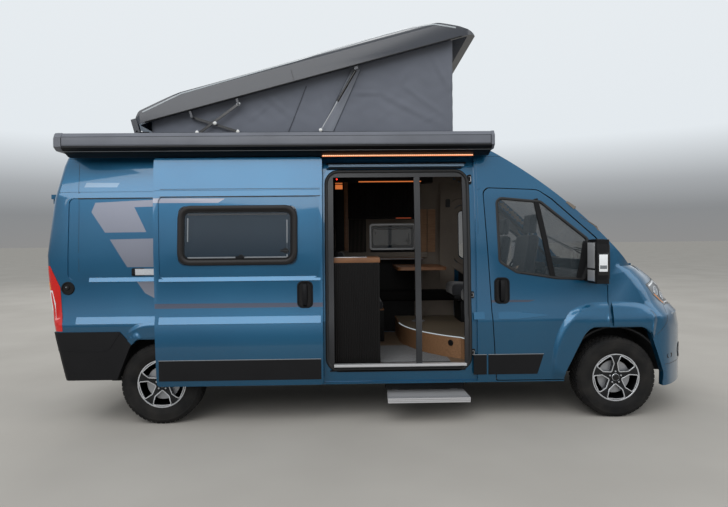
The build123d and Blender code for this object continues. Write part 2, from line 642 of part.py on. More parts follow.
def rim_solid():
    """Alloy rim with five house-shaped openings, its face towards -Y."""
    half = TYRE_WIDTH / 2 - 18
    ring = revolve(make_face(Polyline(
        (RIM_BORE, -half, 0), (RIM_RADIUS - 0.3, -half, 0), (RIM_RADIUS - 0.3, half, 0),
        (RIM_BORE, half, 0), close=True)), axis=Axis.Y)
    dish = revolve(make_face(Polyline(
        (0, RIM_DISH, 0), (90, RIM_DISH, 0), (RIM_BORE + 2, -half + 30, 0), (RIM_BORE + 2, -half, 0),
        (165, -half - 4, 0), (70, RIM_DISH - 38, 0), (0, RIM_DISH - 38, 0), close=True)), axis=Axis.Y)
    opening = [(62, 0), (112, 58), (183, 76), (190, 0), (183, -76), (112, -58)]
    for spoke in range(SPOKES):
        angle = 90 + 360 / SPOKES * spoke
        hole = prism_y(opening, -150, 60, [10, 14, 12, 0, 12, 14])
        dish = dish - Rot(0, angle, 0) * hole
    bore = rod((0, RIM_DISH - 26, 0), (0, RIM_DISH + 60, 0), HUB_RADIUS + RUNNING_GAP)
    boss = rod((0, RIM_DISH - 10, 0), (0, HUB_INNER, 0), HUB_RADIUS + 18)
    return (ring + dish + boss) - bore - rod((0, RIM_DISH - 26, 0), (0, HUB_INNER + 1, 0),
                                            HUB_RADIUS + RUNNING_GAP)


RIM_DISH = -46
HUB_INNER = 8
HUB_Z = TYRE_RADIUS
FRONT_WHEEL_Y = TRACK_FRONT / 2
REAR_WHEEL_Y = TRACK_REAR / 2
tyre = tyre_solid()
rim = rim_solid()
WHEELS = (
    # name, axle x, half track
    ("front", FRONT_AXLE, FRONT_WHEEL_Y),
    ("rear", REAR_AXLE, REAR_WHEEL_Y),
)
for end, x, y in WHEELS:
    place = Pos(x, -y, HUB_Z)
    save(f"tyre_{end}_right", place * tyre)
    save(f"rim_{end}_right", place * rim)
    save(f"tyre_{end}_left", mirrored(place * tyre))
    save(f"rim_{end}_left", mirrored(place * rim))

# Knuckle: an upright inside the rim that turns on the two ball joints, with the wheel's spindle
ARM_HALF = 106
knuckle = block(FRONT_AXLE - 40, FRONT_AXLE + 40, -KINGPIN_Y - 12, -KINGPIN_Y + 30,
                HUB_Z - ARM_HALF, HUB_Z + ARM_HALF)
spindle_end = -FRONT_WHEEL_Y + RIM_DISH - 26 + RUNNING_GAP
knuckle = knuckle + rod((FRONT_AXLE, -KINGPIN_Y, HUB_Z), (FRONT_AXLE, spindle_end, HUB_Z), HUB_RADIUS)
save("knuckle_right", knuckle)
save("knuckle_left", mirrored(knuckle))


# Chassis, axles and what hangs under the floor

FLOOR_UNDER = FLOOR_Z - FLOOR_THICK
RAIL_Y = (400, 470)
RAIL_LOW = FLOOR_UNDER - 100
RAIL_REAR_X, RAIL_FRONT_X = REAR_X + 290, FRONT_X - 170
rail = block(RAIL_REAR_X, RAIL_FRONT_X, -RAIL_Y[1], -RAIL_Y[0], RAIL_LOW, FLOOR_UNDER)
chassis = both_sides(rail)
for x in (RAIL_REAR_X, REAR_AXLE + 900, FRONT_AXLE - 1400, FRONT_AXLE - 600):
    chassis = chassis + block(x, x + 60, -RAIL_Y[1], RAIL_Y[1], RAIL_LOW + 10, FLOOR_UNDER)
# Bent crash beam behind the front bumper
crash_beam = block(FRONT_X - 260, FRONT_X, -600, 600, FLOOR_UNDER - 30, FLOOR_UNDER + 35) & inner_body
crash_beam = crash_beam - Pos(-70, 0, 0) * inner_body
BEAM_FACE_X = FRONT_X - 160
crash_beam = crash_beam + block(BEAM_FACE_X - 60, BEAM_FACE_X, TOW_Y - 30, TOW_Y + 30,
                                FLOOR_UNDER - 30, FLOOR_UNDER + 35)
chassis = chassis + crash_beam
chassis = chassis - rod((BEAM_FACE_X, TOW_Y, TOW_Z), (FRONT_X + 100, TOW_Y, TOW_Z), 24)
chassis = chassis - rod((BEAM_FACE_X - TOW_DEPTH, TOW_Y, TOW_Z), (BEAM_FACE_X, TOW_Y, TOW_Z), TOW_RADIUS)
for z, low, high in ((HUB_Z - ARM_HALF - RUNNING_GAP, 34, 0), (HUB_Z + ARM_HALF + RUNNING_GAP, 0, 34)):
    link = block(FRONT_AXLE - 30, FRONT_AXLE + 30, -KINGPIN_Y - 10, -RAIL_Y[0], z - low, z + high)
    chassis = chassis + both_sides(link)
tower = block(FRONT_AXLE - 30, FRONT_AXLE + 90, -540, -RAIL_Y[0], HUB_Z - ARM_HALF - 34, HUB_Z + ARM_HALF + 34)
chassis = chassis + both_sides(tower)
for x in (DOORWAY_REAR - 500, REAR_AXLE + 560, FRONT_AXLE - 760):
    chassis = chassis + both_sides(block(x, x + 50, -945, -RAIL_Y[0], RAIL_LOW + 45, FLOOR_UNDER))
save("chassis_frame", chassis)
cassette = block(STEP_REAR, STEP_FRONT, -850, -RAIL_Y[1], STEP_Z + STEP_THICK / 2 + RUNNING_GAP, RAIL_LOW + 30)
save("step_cassette", cassette)

BEAM_Z = HUB_Z - 112
spring = block(REAR_AXLE - 620, REAR_AXLE + 620, -560, -500, RAIL_LOW - 14, RAIL_LOW + 6)
spring = spring + block(REAR_AXLE - 620, REAR_AXLE - 570, -560, -RAIL_Y[1], RAIL_LOW - 14, RAIL_LOW + 40)
spring = spring + block(REAR_AXLE + 570, REAR_AXLE + 620, -560, -RAIL_Y[1], RAIL_LOW - 14, RAIL_LOW + 40)
spring = spring + block(REAR_AXLE - 60, REAR_AXLE + 60, -565, -495, BEAM_Z - 46, RAIL_LOW + 16)
beam_end = -REAR_WHEEL_Y + RIM_DISH - 26 + RUNNING_GAP
axle = rod((REAR_AXLE, 0, BEAM_Z), (REAR_AXLE, -700, BEAM_Z), 42)
axle = axle + rod((REAR_AXLE, -680, HUB_Z), (REAR_AXLE, beam_end, HUB_Z), HUB_RADIUS)
axle = axle + block(REAR_AXLE - 45, REAR_AXLE + 45, -720, -660, BEAM_Z - 42, FLOOR_UNDER - 4)
save("rear_axle", both_sides(axle + spring))

engine = block(FRONT_AXLE + 110, FRONT_AXLE + 640, -RAIL_Y[0], RAIL_Y[0], FLOOR_UNDER - 60, 1060)
engine = engine - block(FRONT_AXLE + 500, FRONT_AXLE + 700, -500, 500, 900, 1100)
save("engine_block", engine)

fuel_tank = block(FRONT_AXLE - 1330, FRONT_AXLE - 800, 500, 930, 245, FLOOR_UNDER)
water_tank = block(REAR_AXLE + 1060, REAR_AXLE + 1500, 500, 930, 255, FLOOR_UNDER)
PIPE_Y, PIPE_Z = -300, RAIL_LOW - 20
silencer = rod((REAR_AXLE + 640, PIPE_Y, PIPE_Z - 42), (REAR_AXLE + 1240, PIPE_Y, PIPE_Z - 42), 69)
pipe = rod((REAR_AXLE + 1240, PIPE_Y, PIPE_Z), (FRONT_AXLE + 200, PIPE_Y, PIPE_Z), 26)
pipe = pipe + rod((FRONT_AXLE + 190, PIPE_Y, PIPE_Z), (FRONT_AXLE + 190, PIPE_Y, FLOOR_UNDER - 60), 26)
save("underfloor_gear", fuel_tank, water_tank, silencer + pipe)


# Floor with its wheel housings and the bulkhead behind the engine

HOUSING_RADIUS, HOUSING_THICK = 440, 15


def housing(axle_x, inner_y):
    """Upper half of a right-hand wheel housing, open at the wheel, and the form that it fills."""
    form = rod((axle_x, -WIDEST, HUB_Z), (axle_x, -inner_y + HOUSING_THICK, HUB_Z), HOUSING_RADIUS + HOUSING_THICK)
    cavity = rod((axle_x, -WIDEST, HUB_Z), (axle_x, -inner_y, HUB_Z), HOUSING_RADIUS)
    half = (form - cavity) & block(axle_x - 600, axle_x + 600, -WIDEST, 0, FLOOR_UNDER, 1000)
    return half & inner_body, form


REAR_HOUSING_Y, FRONT_HOUSING_Y = 735, 595
rear_housing, rear_form = housing(REAR_AXLE, REAR_HOUSING_Y)
front_housing, front_form = housing(FRONT_AXLE, FRONT_HOUSING_Y)
# Slot for the upper link through each front housing
link_z = HUB_Z + ARM_HALF
front_housing = front_housing - block(FRONT_AXLE - 60, FRONT_AXLE + 60, -600, -570, link_z - 30, link_z + 64)
save("wheel_housings", both_sides(rear_housing), both_sides(front_housing))
CAB_FLOOR_Z = FLOOR_Z + 200
BULKHEAD_X = FRONT_AXLE - 66
BULKHEAD_THICK = 34
floor_rear = block(REAR_WALL_X, FRONT_AXLE - 1200, -1000, 1000, FLOOR_UNDER, FLOOR_Z) & inner_body
floor_cab = block(FRONT_AXLE - 1200, BULKHEAD_X, -955, 955, FLOOR_UNDER, FLOOR_Z)
bulkhead = block(BULKHEAD_X, BULKHEAD_X + BULKHEAD_THICK, -1000, 1000, FLOOR_UNDER, 1262) & inner_body
cowl = (shell & block(BULKHEAD_X + BULKHEAD_THICK, BONNET_REAR - GAP, -850, 850, 1200, SCREEN_LOW + 20)) - screen_hole
plenum = block(BULKHEAD_X, COWL_X - 60, -850, 850, 1232, 1262)
cowl_end = block(COWL_X - 90, COWL_X - 50, -850, 850, 1232, 1700) & inner_body
floor_pan = floor_rear + floor_cab + bulkhead + plenum + cowl_end + cowl
for form in (rear_form, front_form):
    floor_pan = floor_pan - form - mirrored(form)
floor_pan = floor_pan - bonnet_zone
for y in (-600, 600):
    y0 = y + 24 + RUNNING_GAP
    hinge = rod((BONNET_PIN_X, y0, BONNET_PIN_Z), (BONNET_PIN_X, y0 + 20, BONNET_PIN_Z), 8)
    foot = block(BONNET_PIN_X - 60, BONNET_PIN_X, y0, y0 + 20, BONNET_PIN_Z - 50, BONNET_PIN_Z)
    floor_pan = floor_pan + hinge + (foot - screen_hole)
save("floor_pan", floor_pan)


# Furniture and seats

curve_start, curve_mid, curve_end = (FRONT_AXLE - 1330, -700), (FRONT_AXLE - 1640, -330), (FRONT_AXLE - 1830, 300)
podium_edge = ThreePointArc((*curve_start, FLOOR_Z), (*curve_mid, FLOOR_Z), (*curve_end, FLOOR_Z))
podium_back = Polyline(
    (*curve_end, FLOOR_Z), (FRONT_AXLE - 1830, 900, FLOOR_Z), (FRONT_AXLE - 470, 900, FLOOR_Z),
    (FRONT_AXLE - 470, 570, FLOOR_Z), (BULKHEAD_X, 570, FLOOR_Z), (BULKHEAD_X, -570, FLOOR_Z),
    (FRONT_AXLE - 470, -570, FLOOR_Z), (FRONT_AXLE - 470, -900, FLOOR_Z), (FRONT_AXLE - 1260, -900, FLOOR_Z),
    (*curve_start, FLOOR_Z))
podium = extrude(make_face([podium_edge.edges(), podium_back.edges()]), amount=CAB_FLOOR_Z - FLOOR_Z, dir=(0, 0, 1))
save("cab_podium", podium)


def cab_seat(y):
    """Front seat turned round to face the living space."""
    x = FRONT_AXLE - 1000
    base = block(x - 150, x + 170, y - 210, y + 210, CAB_FLOOR_Z, CAB_FLOOR_Z + 290)
    cushion = prism_y([(x - 260, CAB_FLOOR_Z + 290), (x + 250, CAB_FLOOR_Z + 290),
                       (x + 250, CAB_FLOOR_Z + 400), (x - 260, CAB_FLOOR_Z + 430)], y - 250, y + 250, 30)
    back = prism_y([(x + 220, CAB_FLOOR_Z + 330), (x + 330, CAB_FLOOR_Z + 330), (x + 430, CAB_FLOOR_Z + 980),
                    (x + 340, CAB_FLOOR_Z + 980)], y - 240, y + 240, 30)
    head = prism_y([(x + 350, CAB_FLOOR_Z + 960), (x + 425, CAB_FLOOR_Z + 960), (x + 450, CAB_FLOOR_Z + 1170),
                    (x + 375, CAB_FLOOR_Z + 1170)], y - 130, y + 130, 25)
    return base + cushion + back + head


SEAT_Y = 470
save("cab_seats", cab_seat(-SEAT_Y), cab_seat(SEAT_Y))

dash = prism_y([(BULKHEAD_X - 280, 1000), (BULKHEAD_X, 940), (BULKHEAD_X, 1290), (BULKHEAD_X - 120, 1290),
                (BULKHEAD_X - 290, 1200)], -880, 880, 30) & inner_body
STEER_Y = 450
STEER_TILT = 28
column = Vector(math.cos(math.radians(STEER_TILT)), 0, -math.sin(math.radians(STEER_TILT)))
wheel_centre = Vector(FRONT_AXLE - 480, STEER_Y, 1300)
column_start = wheel_centre + column * (20 + RUNNING_GAP)
column_end = wheel_centre + column * 240
dash = dash + rod(tuple(column_start), tuple(column_end), 30)
save("dashboard", dash)
STEER_RADIUS = 190
wheel_plane = Plane(origin=tuple(wheel_centre), z_dir=tuple(column))
steering = wheel_plane * Torus(STEER_RADIUS, 14)
steering = steering + wheel_plane * Cylinder(55, 40)
for angle in (0, 120, 240):
    steering = steering + wheel_plane * Rot(0, 0, angle) * Pos(STEER_RADIUS / 2 + 15, 0, 0) * Box(STEER_RADIUS - 30, 30, 14)
save("steering_wheel", steering)

WORKTOP_Z = 1430
KITCHEN_FRONT = FRONT_AXLE - 2120
cabinet = block(KITCHEN_FRONT - 1000, KITCHEN_FRONT - 20, -900, -420, FLOOR_Z, WORKTOP_Z - 36)
worktop = block(KITCHEN_FRONT - 1010, KITCHEN_FRONT, -905, -400, WORKTOP_Z - 36, WORKTOP_Z)
save("kitchen_unit", cabinet + worktop)

TABLE_Z = 1310
table_top = prism_z([(FRONT_AXLE - 1860, 50), (FRONT_AXLE - 1330, 50), (FRONT_AXLE - 1330, 900),
                     (FRONT_AXLE - 1860, 900)], TABLE_Z - 30, TABLE_Z, 50)
table_leg = rod((FRONT_AXLE - 1600, 420, CAB_FLOOR_Z), (FRONT_AXLE - 1600, 420, TABLE_Z - 30), 30)
save("dining_table", table_top + table_leg)

washroom = block(FRONT_AXLE - 3400, FRONT_AXLE - 2560, 300, 1000, FLOOR_Z, 2290) & inner_body
lockers = prism_x([(640, 1880), (1000, 1880), (1000, 2290), (690, 2290)],
                  FRONT_AXLE - 2540, FRONT_AXLE - 1570, 0) & inner_body
save("tall_furniture", washroom, lockers)

bench = block(FRONT_AXLE - 2500, FRONT_AXLE - 2000, 250, 900, FLOOR_Z, 930)
bench_back = prism_y([(FRONT_AXLE - 2500, 900), (FRONT_AXLE - 2380, 900), (FRONT_AXLE - 2440, 1500),
                      (FRONT_AXLE - 2540, 1500)], 250, 880, 30)
save("bench_seat", bench + bench_back)

BED_X = (REAR_WALL_X + WALL + 80, REAR_AXLE + 600)
platform = block(BED_X[0], BED_X[1], -1000, 1000, 1020, 1050) & inner_body
save("bed_platform", platform)
mattress = block(BED_X[0] + 10, BED_X[1] - 10, -905, 905, 1050 + RUNNING_GAP, 1190)
save("mattress", mattress)


# Fly screen in the doorway, following the lean of the wall

SCREEN_POST = 52
screen_slab = side_band(WALL - 34, WALL - 4, low=400)
screen_ring = prism_y([(DOORWAY_REAR, DOORWAY_LOW), (DOORWAY_FRONT, DOORWAY_LOW),
                       (DOORWAY_FRONT, DOORWAY_HIGH), (DOORWAY_REAR, DOORWAY_HIGH)], -1300, -700, 70)
screen_open = block(DOORWAY_REAR + SCREEN_POST, DOORWAY_FRONT - 38, -1300, -700, DOORWAY_LOW + 24, DOORWAY_HIGH - 44)
BAR_X = FRONT_AXLE - 1760
screen_bar = block(BAR_X - 26, BAR_X + 26, -1300, -700, DOORWAY_LOW, DOORWAY_HIGH)
fly_screen = (screen_slab & screen_ring) - screen_open
fly_screen = fly_screen + (screen_slab & screen_bar)
save("fly_screen", fly_screen)


# Awning case on its brackets

awning = prism_x([(-AWNING_OUT, AWNING_LOW + 30), (-AWNING_OUT, AWNING_HIGH - 40), (-AWNING_OUT + 30, AWNING_HIGH),
                  (-905, AWNING_HIGH), (-905, AWNING_LOW), (-AWNING_OUT + 40, AWNING_LOW)],
                 AWNING_REAR, AWNING_FRONT, 8)
for x in (AWNING_REAR + 300, (AWNING_REAR + AWNING_FRONT) / 2, AWNING_FRONT - 420):
    awning = awning + (block(x, x + 80, -910, -800, AWNING_LOW + 10, AWNING_HIGH - 6) - outer_body)
save("awning", awning)


# Sleeping roof: adapter frame, tent, shell, stays and gas struts

FRAME_Z = 2600
FRAME_REAR, FRAME_FRONT = FRONT_AXLE - 4240, FRONT_AXLE - 1390
frame_out = prism_z([(FRAME_REAR, -795), (FRAME_FRONT, -795), (FRAME_FRONT, 795), (FRAME_REAR, 795)],
                    2300, FRAME_Z, 60)
frame_in = prism_z([(FRAME_REAR + 40, -755), (FRAME_FRONT - 40, -755), (FRAME_FRONT - 40, 755),
                    (FRAME_REAR + 40, 755)], 2200, 2700, 30)
roof_frame = (frame_out - frame_in) - outer_body

hinge_turn = Axis((ROOF_HINGE_X, 0, ROOF_HINGE_Z), (0, 1, 0))


def raised(shape):
    """A piece drawn on the closed roof, turned up with it."""
    return shape.rotate(hinge_turn, -ROOF_ANGLE)


def raised_point(x, z):
    """Side-view point on the closed roof, turned up with it."""
    angle = math.radians(ROOF_ANGLE)
    along, up = x - ROOF_HINGE_X, z - ROOF_HINGE_Z
    return (ROOF_HINGE_X + along * math.cos(angle) - up * math.sin(angle),
            ROOF_HINGE_Z + along * math.sin(angle) + up * math.cos(angle))


def lowered_point(x, z):
    """Side-view point on the raised roof, turned down with it."""
    angle = math.radians(ROOF_ANGLE)
    along, up = x - ROOF_HINGE_X, z - ROOF_HINGE_Z
    return (ROOF_HINGE_X + along * math.cos(angle) + up * math.sin(angle),
            ROOF_HINGE_Z - along * math.sin(angle) + up * math.cos(angle))


SHELL_SIDE = (
    # forward of the tail, height above the lip
    (0, 0),
    (87, 116),
    (496, 195),
    (1562, 213),
    (2393, 261),
    (2663, 251),
    (2876, 199),
    (3075, 100),
    (3213, 0),
)


def shell_form(inset):
    """Closed roof shell's solid form, smaller by inset except at its open underside."""
    low = SHELL_LIP_Z if inset == 0 else SHELL_LIP_Z - 50
    points = [(SHELL_TAIL_X + along, SHELL_LIP_Z + up) for along, up in SHELL_SIDE]
    if inset:
        middle = (SHELL_TAIL_X + SHELL_NOSE_X) / 2
        points = [(x + inset * (1 if x < middle else -1), z - inset) for x, z in points]
        points[0] = (points[0][0], low)
        points[-1] = (points[-1][0], low)
    radii = [0, 60, 200, 900, 900, 300, 200, 200, 0] if inset == 0 else [0, 40, 150, 800, 800, 200, 150, 150, 0]
    side = prism_y(points, -1000, 1000, radii)
    half = SHELL_HALF - inset
    top = SHELL_LIP_Z + 300 - inset
    edge = SHELL_LIP_Z + 180 - inset
    cross = prism_x([(-half, low), (half, low), (half - 25, edge), (half - 160, edge + 78),
                     (-half + 160, edge + 78), (-half + 25, edge)],
                    SHELL_TAIL_X - 10, SHELL_NOSE_X + 10, [0, 0, 60, 120, 120, 60])
    plan = prism_z([(SHELL_TAIL_X - 1 + inset, -half - 5), (SHELL_NOSE_X + 1 - inset, -half - 5),
                    (SHELL_NOSE_X + 1 - inset, half + 5), (SHELL_TAIL_X - 1 + inset, half + 5)],
                   low, top + 100, [110, 130, 130, 110])
    return (side & cross) & plan


closed_shell = shell_form(0) - shell_form(SHELL_THICK)
# Pivots of the tail stays and gas struts on the frame and, raised, on the shell
RISE_FOOT, RISE_HEAD = (FRONT_AXLE - 3736, 2575), (FRONT_AXLE - 3360, 2848)
FALL_FOOT, FALL_HEAD = (FRONT_AXLE - 3375, 2603), (FRONT_AXLE - 3777, 2730)
GAS_FOOT, GAS_HEAD = (FRONT_AXLE - 2621, 2608), (FRONT_AXLE - 2292, 3161)
FALL_Y = (-812, -800)
RISE_Y = (-830, -818)
STAY_HALF = 11
PIN_RADIUS = 5
for (x, z), y in ((lowered_point(*RISE_HEAD), RISE_Y[0]), (lowered_point(*FALL_HEAD), FALL_Y[0])):
    closed_shell = closed_shell + both_sides(
        block(x - 10, x + 10, -SHELL_HALF + SHELL_THICK / 2, y - RUNNING_GAP, z - 10, SHELL_LIP_Z + 60))
gas_x, gas_z = lowered_point(*GAS_HEAD)
closed_shell = closed_shell + both_sides(
    block(gas_x - 14, gas_x + 14, -SHELL_HALF + SHELL_THICK / 2, -832, gas_z - 14, SHELL_LIP_Z + 60)
    + rod((gas_x, -833, gas_z), (gas_x, -806, gas_z), PIN_RADIUS))
lug = block(ROOF_HINGE_X - 25, ROOF_HINGE_X + 25, -SHELL_HALF + SHELL_THICK / 2, -816,
            ROOF_HINGE_Z - 14, SHELL_LIP_Z + 60)
lug = lug - rod((ROOF_HINGE_X, -900, ROOF_HINGE_Z), (ROOF_HINGE_X, -700, ROOF_HINGE_Z), 8 + RUNNING_GAP)
closed_shell = closed_shell + both_sides(lug)
save("roof_shell", raised(closed_shell))

frame_pins = rod((ROOF_HINGE_X, -840, ROOF_HINGE_Z), (ROOF_HINGE_X, -784, ROOF_HINGE_Z), 8)
frame_pins = frame_pins + block(ROOF_HINGE_X - 14, FRAME_REAR + 60, -795, -784, 2500, ROOF_HINGE_Z + 8)
for (x, z), y in ((RISE_FOOT, -834), (FALL_FOOT, -816), (GAS_FOOT, -811)):
    frame_pins = frame_pins + rod((x, y, z), (x, -784, z), PIN_RADIUS)
    frame_pins = frame_pins + block(x - 14, x + 14, -799, -784, FRAME_Z - 50, z + 12)
roof_frame = (roof_frame + both_sides(frame_pins)) - outer_body
save("roof_frame", roof_frame)


def stay(foot, head, y_span):
    """Flat bar with a pivot hole at its foot."""
    run = Vector(head[0] - foot[0], 0, head[1] - foot[1])
    turn = math.degrees(math.atan2(run.Z, run.X))
    low, high = y_span
    bar = block(0, run.length, low, high, -STAY_HALF, STAY_HALF)
    bar = bar + rod((0, low, 0), (0, high, 0), STAY_HALF)
    bar = bar + rod((run.length, low, 0), (run.length, high, 0), STAY_HALF)
    bar = bar - rod((0, low - 1, 0), (0, high + 1, 0), PIN_RADIUS + RUNNING_GAP)
    return Pos(foot[0], 0, foot[1]) * (Rot(0, -turn, 0) * bar)


save("stays_rising", both_sides(stay(RISE_FOOT, RISE_HEAD, RISE_Y)))
save("stays_falling", both_sides(stay(FALL_FOOT, FALL_HEAD, FALL_Y)))

gas_run = Vector(GAS_FOOT[0] - GAS_HEAD[0], 0, GAS_FOOT[1] - GAS_HEAD[1])
gas_turn = math.degrees(math.atan2(gas_run.Z, gas_run.X))
GAS_Y = -819
TUBE_LENGTH = 340
tube = rod((16, GAS_Y, 0), (TUBE_LENGTH, GAS_Y, 0), 12)
tube = tube + rod((0, GAS_Y - 8, 0), (0, GAS_Y + 8, 0), 14)
tube = tube + block(0, 30, GAS_Y - 8, GAS_Y + 8, -8, 8)
tube = tube - rod((0, GAS_Y - 9, 0), (0, GAS_Y + 9, 0), PIN_RADIUS + RUNNING_GAP)
tube = tube - rod((60, GAS_Y, 0), (TUBE_LENGTH + 1, GAS_Y, 0), 5 + RUNNING_GAP)
piston = rod((TUBE_LENGTH - 20, GAS_Y, 0), (gas_run.length, GAS_Y, 0), 5)
piston = piston + rod((gas_run.length, GAS_Y - 7.7, 0), (gas_run.length, GAS_Y + 7.7, 0), 11)
to_gas = Pos(GAS_HEAD[0], 0, GAS_HEAD[1]) * Rot(0, -gas_turn, 0)
save("gas_tubes", both_sides(to_gas * tube))
save("gas_rods", both_sides(to_gas * piston))

TENT_REAR, TENT_FRONT = FRONT_AXLE - 4170, FRONT_AXLE - 1401
tent_low = FRAME_Z + RUNNING_GAP
TENT_LINE = SHELL_LIP_Z + 60


def tent_top(x):
    """Height of the tent's top edge at this place along the van."""
    angle = math.radians(ROOF_ANGLE)
    start_x, start_z = raised_point(SHELL_TAIL_X, TENT_LINE)
    return start_z + (x - start_x) * math.tan(angle)


def tent_wedge(inset):
    """Side view of the tent, drawn smaller by inset at its ends."""
    rear, front = TENT_REAR + inset, TENT_FRONT - inset
    return [(rear, tent_low - inset), (front, tent_low - inset), (front, tent_top(front) + inset),
            (rear, tent_top(rear) + inset)]


tent = prism_y(tent_wedge(0), -TENT_HALF, TENT_HALF)
tent = tent - prism_y(tent_wedge(TENT_THICK), -TENT_HALF + TENT_THICK, TENT_HALF - TENT_THICK)
save("tent", tent)


# Step that slides out from its cassette

tread = prism_z([(STEP_REAR, -STEP_OUT), (STEP_FRONT, -STEP_OUT), (STEP_FRONT - 10, -STEP_IN),
                 (STEP_REAR + 10, -STEP_IN)], STEP_Z - STEP_THICK / 2, STEP_Z + STEP_THICK / 2)
for x in (STEP_REAR + 60, STEP_FRONT - 110):
    tread = tread + block(x, x + 50, -STEP_IN - 20, -600, STEP_Z - 10, STEP_Z + STEP_THICK / 2)
save("step_tread", tread)
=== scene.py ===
import math
import bmesh
import bpy
from mathutils import Matrix, Vector
from mathutils.bvhtree import BVHTree


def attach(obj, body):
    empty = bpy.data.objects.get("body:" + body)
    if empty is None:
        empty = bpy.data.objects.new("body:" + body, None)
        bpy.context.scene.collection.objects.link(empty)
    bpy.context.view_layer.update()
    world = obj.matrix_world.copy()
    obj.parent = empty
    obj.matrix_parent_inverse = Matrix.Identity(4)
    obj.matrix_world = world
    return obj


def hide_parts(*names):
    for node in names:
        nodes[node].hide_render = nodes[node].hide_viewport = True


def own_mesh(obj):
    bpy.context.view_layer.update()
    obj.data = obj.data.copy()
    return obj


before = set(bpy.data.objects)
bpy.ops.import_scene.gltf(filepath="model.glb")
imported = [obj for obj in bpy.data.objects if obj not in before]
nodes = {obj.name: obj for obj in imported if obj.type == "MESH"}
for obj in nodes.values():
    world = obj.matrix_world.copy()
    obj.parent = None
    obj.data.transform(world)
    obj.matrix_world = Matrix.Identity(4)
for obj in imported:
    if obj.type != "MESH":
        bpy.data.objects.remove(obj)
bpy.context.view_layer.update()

scene = bpy.context.scene
print("frame loaded:", len(nodes), "nodes")


# A wire is a socket on which plus, minus and times add their Math nodes.

class Wire:
    def __init__(self, finish, socket):
        self.finish = finish
        self.socket = socket

    def __add__(self, other): return self.finish.maths("ADD", self, other)
    def __radd__(self, other): return self.finish.maths("ADD", other, self)
    def __sub__(self, other): return self.finish.maths("SUBTRACT", self, other)
    def __rsub__(self, other): return self.finish.maths("SUBTRACT", other, self)
    def __mul__(self, other): return self.finish.maths("MULTIPLY", self, other)
    def __rmul__(self, other): return self.finish.maths("MULTIPLY", other, self)
    def __truediv__(self, other): return self.finish.maths("DIVIDE", self, other)
    def __gt__(self, other): return self.finish.maths("GREATER_THAN", self, other)


class Finish:
    def __init__(self, name, world=False):
        self.material = bpy.data.worlds.new(name) if world else bpy.data.materials.new(name)
        self.material.use_nodes = True
        self.tree = self.material.node_tree
        self.tree.nodes.clear()
        self.place = self.add("ShaderNodeTexCoord", output="Generated" if world else "Object")

    def add(self, kind, settings=None, sockets=None, output=0):
        made = self.tree.nodes.new(kind)
        for key, value in (settings or {}).items():
            if key == "stops":
                ramp = made.color_ramp.elements
                while len(ramp) < len(value):
                    ramp.new(0.5)
                for stop, (position, colour) in zip(ramp, value):
                    stop.position = position
                    stop.color = colour
            else:
                setattr(made, key, value)
        for key, value in (sockets or {}).items():
            if isinstance(value, Wire):
                self.tree.links.new(value.socket, made.inputs[key])
            else:
                made.inputs[key].default_value = value
        return Wire(self, made.outputs[output]) if made.outputs else None

    def maths(self, operation, *values):
        return self.add("ShaderNodeMath", {"operation": operation}, dict(enumerate(values)))

    def axes(self, place=None):
        source = place or self.place
        return [self.add("ShaderNodeSeparateXYZ", None, {0: source}, axis) for axis in (0, 1, 2)]

    def mix(self, factor, first, second):
        return self.add("ShaderNodeMix", {"data_type": "RGBA", "clamp_factor": True},
                {0: factor, 6: first, 7: second}, 2)

    def noise(self, scale, detail=2, roughness=0.5, stretch=None):
        source = self.place
        if stretch:
            source = self.add("ShaderNodeMapping", None, {"Vector": source, "Scale": stretch})
        return self.add("ShaderNodeTexNoise", None, {"Vector": source, "Scale": scale, "Detail": detail,
                "Roughness": roughness})

    def between(self, value, low, high):
        return self.add("ShaderNodeMapRange", {"clamp": True}, {0: value, 1: low, 2: high, 3: 0.0, 4: 1.0})

    def bump(self, height, strength=0.3, distance=0.001):
        return self.add("ShaderNodeBump", None,
                {"Height": height, "Strength": strength, "Distance": distance})

    def surface(self, **sockets):
        named = {key.replace("_", " "): value for key, value in sockets.items()}
        shader = self.add("ShaderNodeBsdfPrincipled", None, named)
        self.add("ShaderNodeOutputMaterial", None, {0: shader})
        return self.material


def tone(red, green, blue):  # a colour as seen on a screen, 0 to 255, made linear
    def linear(value):
        share = value / 255
        return share / 12.92 if share <= 0.04045 else ((share + 0.055) / 1.055) ** 2.4
    return (linear(red), linear(green), linear(blue), 1.0)


def shaded(colour, share):  # the same colour, darker below 1 and lighter above
    return [min(1, channel * share) for channel in colour[:3]] + [1]


def halfPlane(finish, x, z, start, end, soft=0.0012):  # 1 to the left of the line from start to end
    dx, dz = end[0] - start[0], end[1] - start[1]
    length = math.hypot(dx, dz)
    side = (z - start[1]) * (dx / length) - (x - start[0]) * (dz / length)
    return finish.between(side, -soft, soft)


def patch(finish, x, z, corners):  # 1 inside a convex outline, given anticlockwise
    mask = None
    for start, end in zip(corners, corners[1:] + corners[:1]):
        edge = halfPlane(finish, x, z, start, end)
        mask = edge if mask is None else mask * edge
    return mask


# Finishes

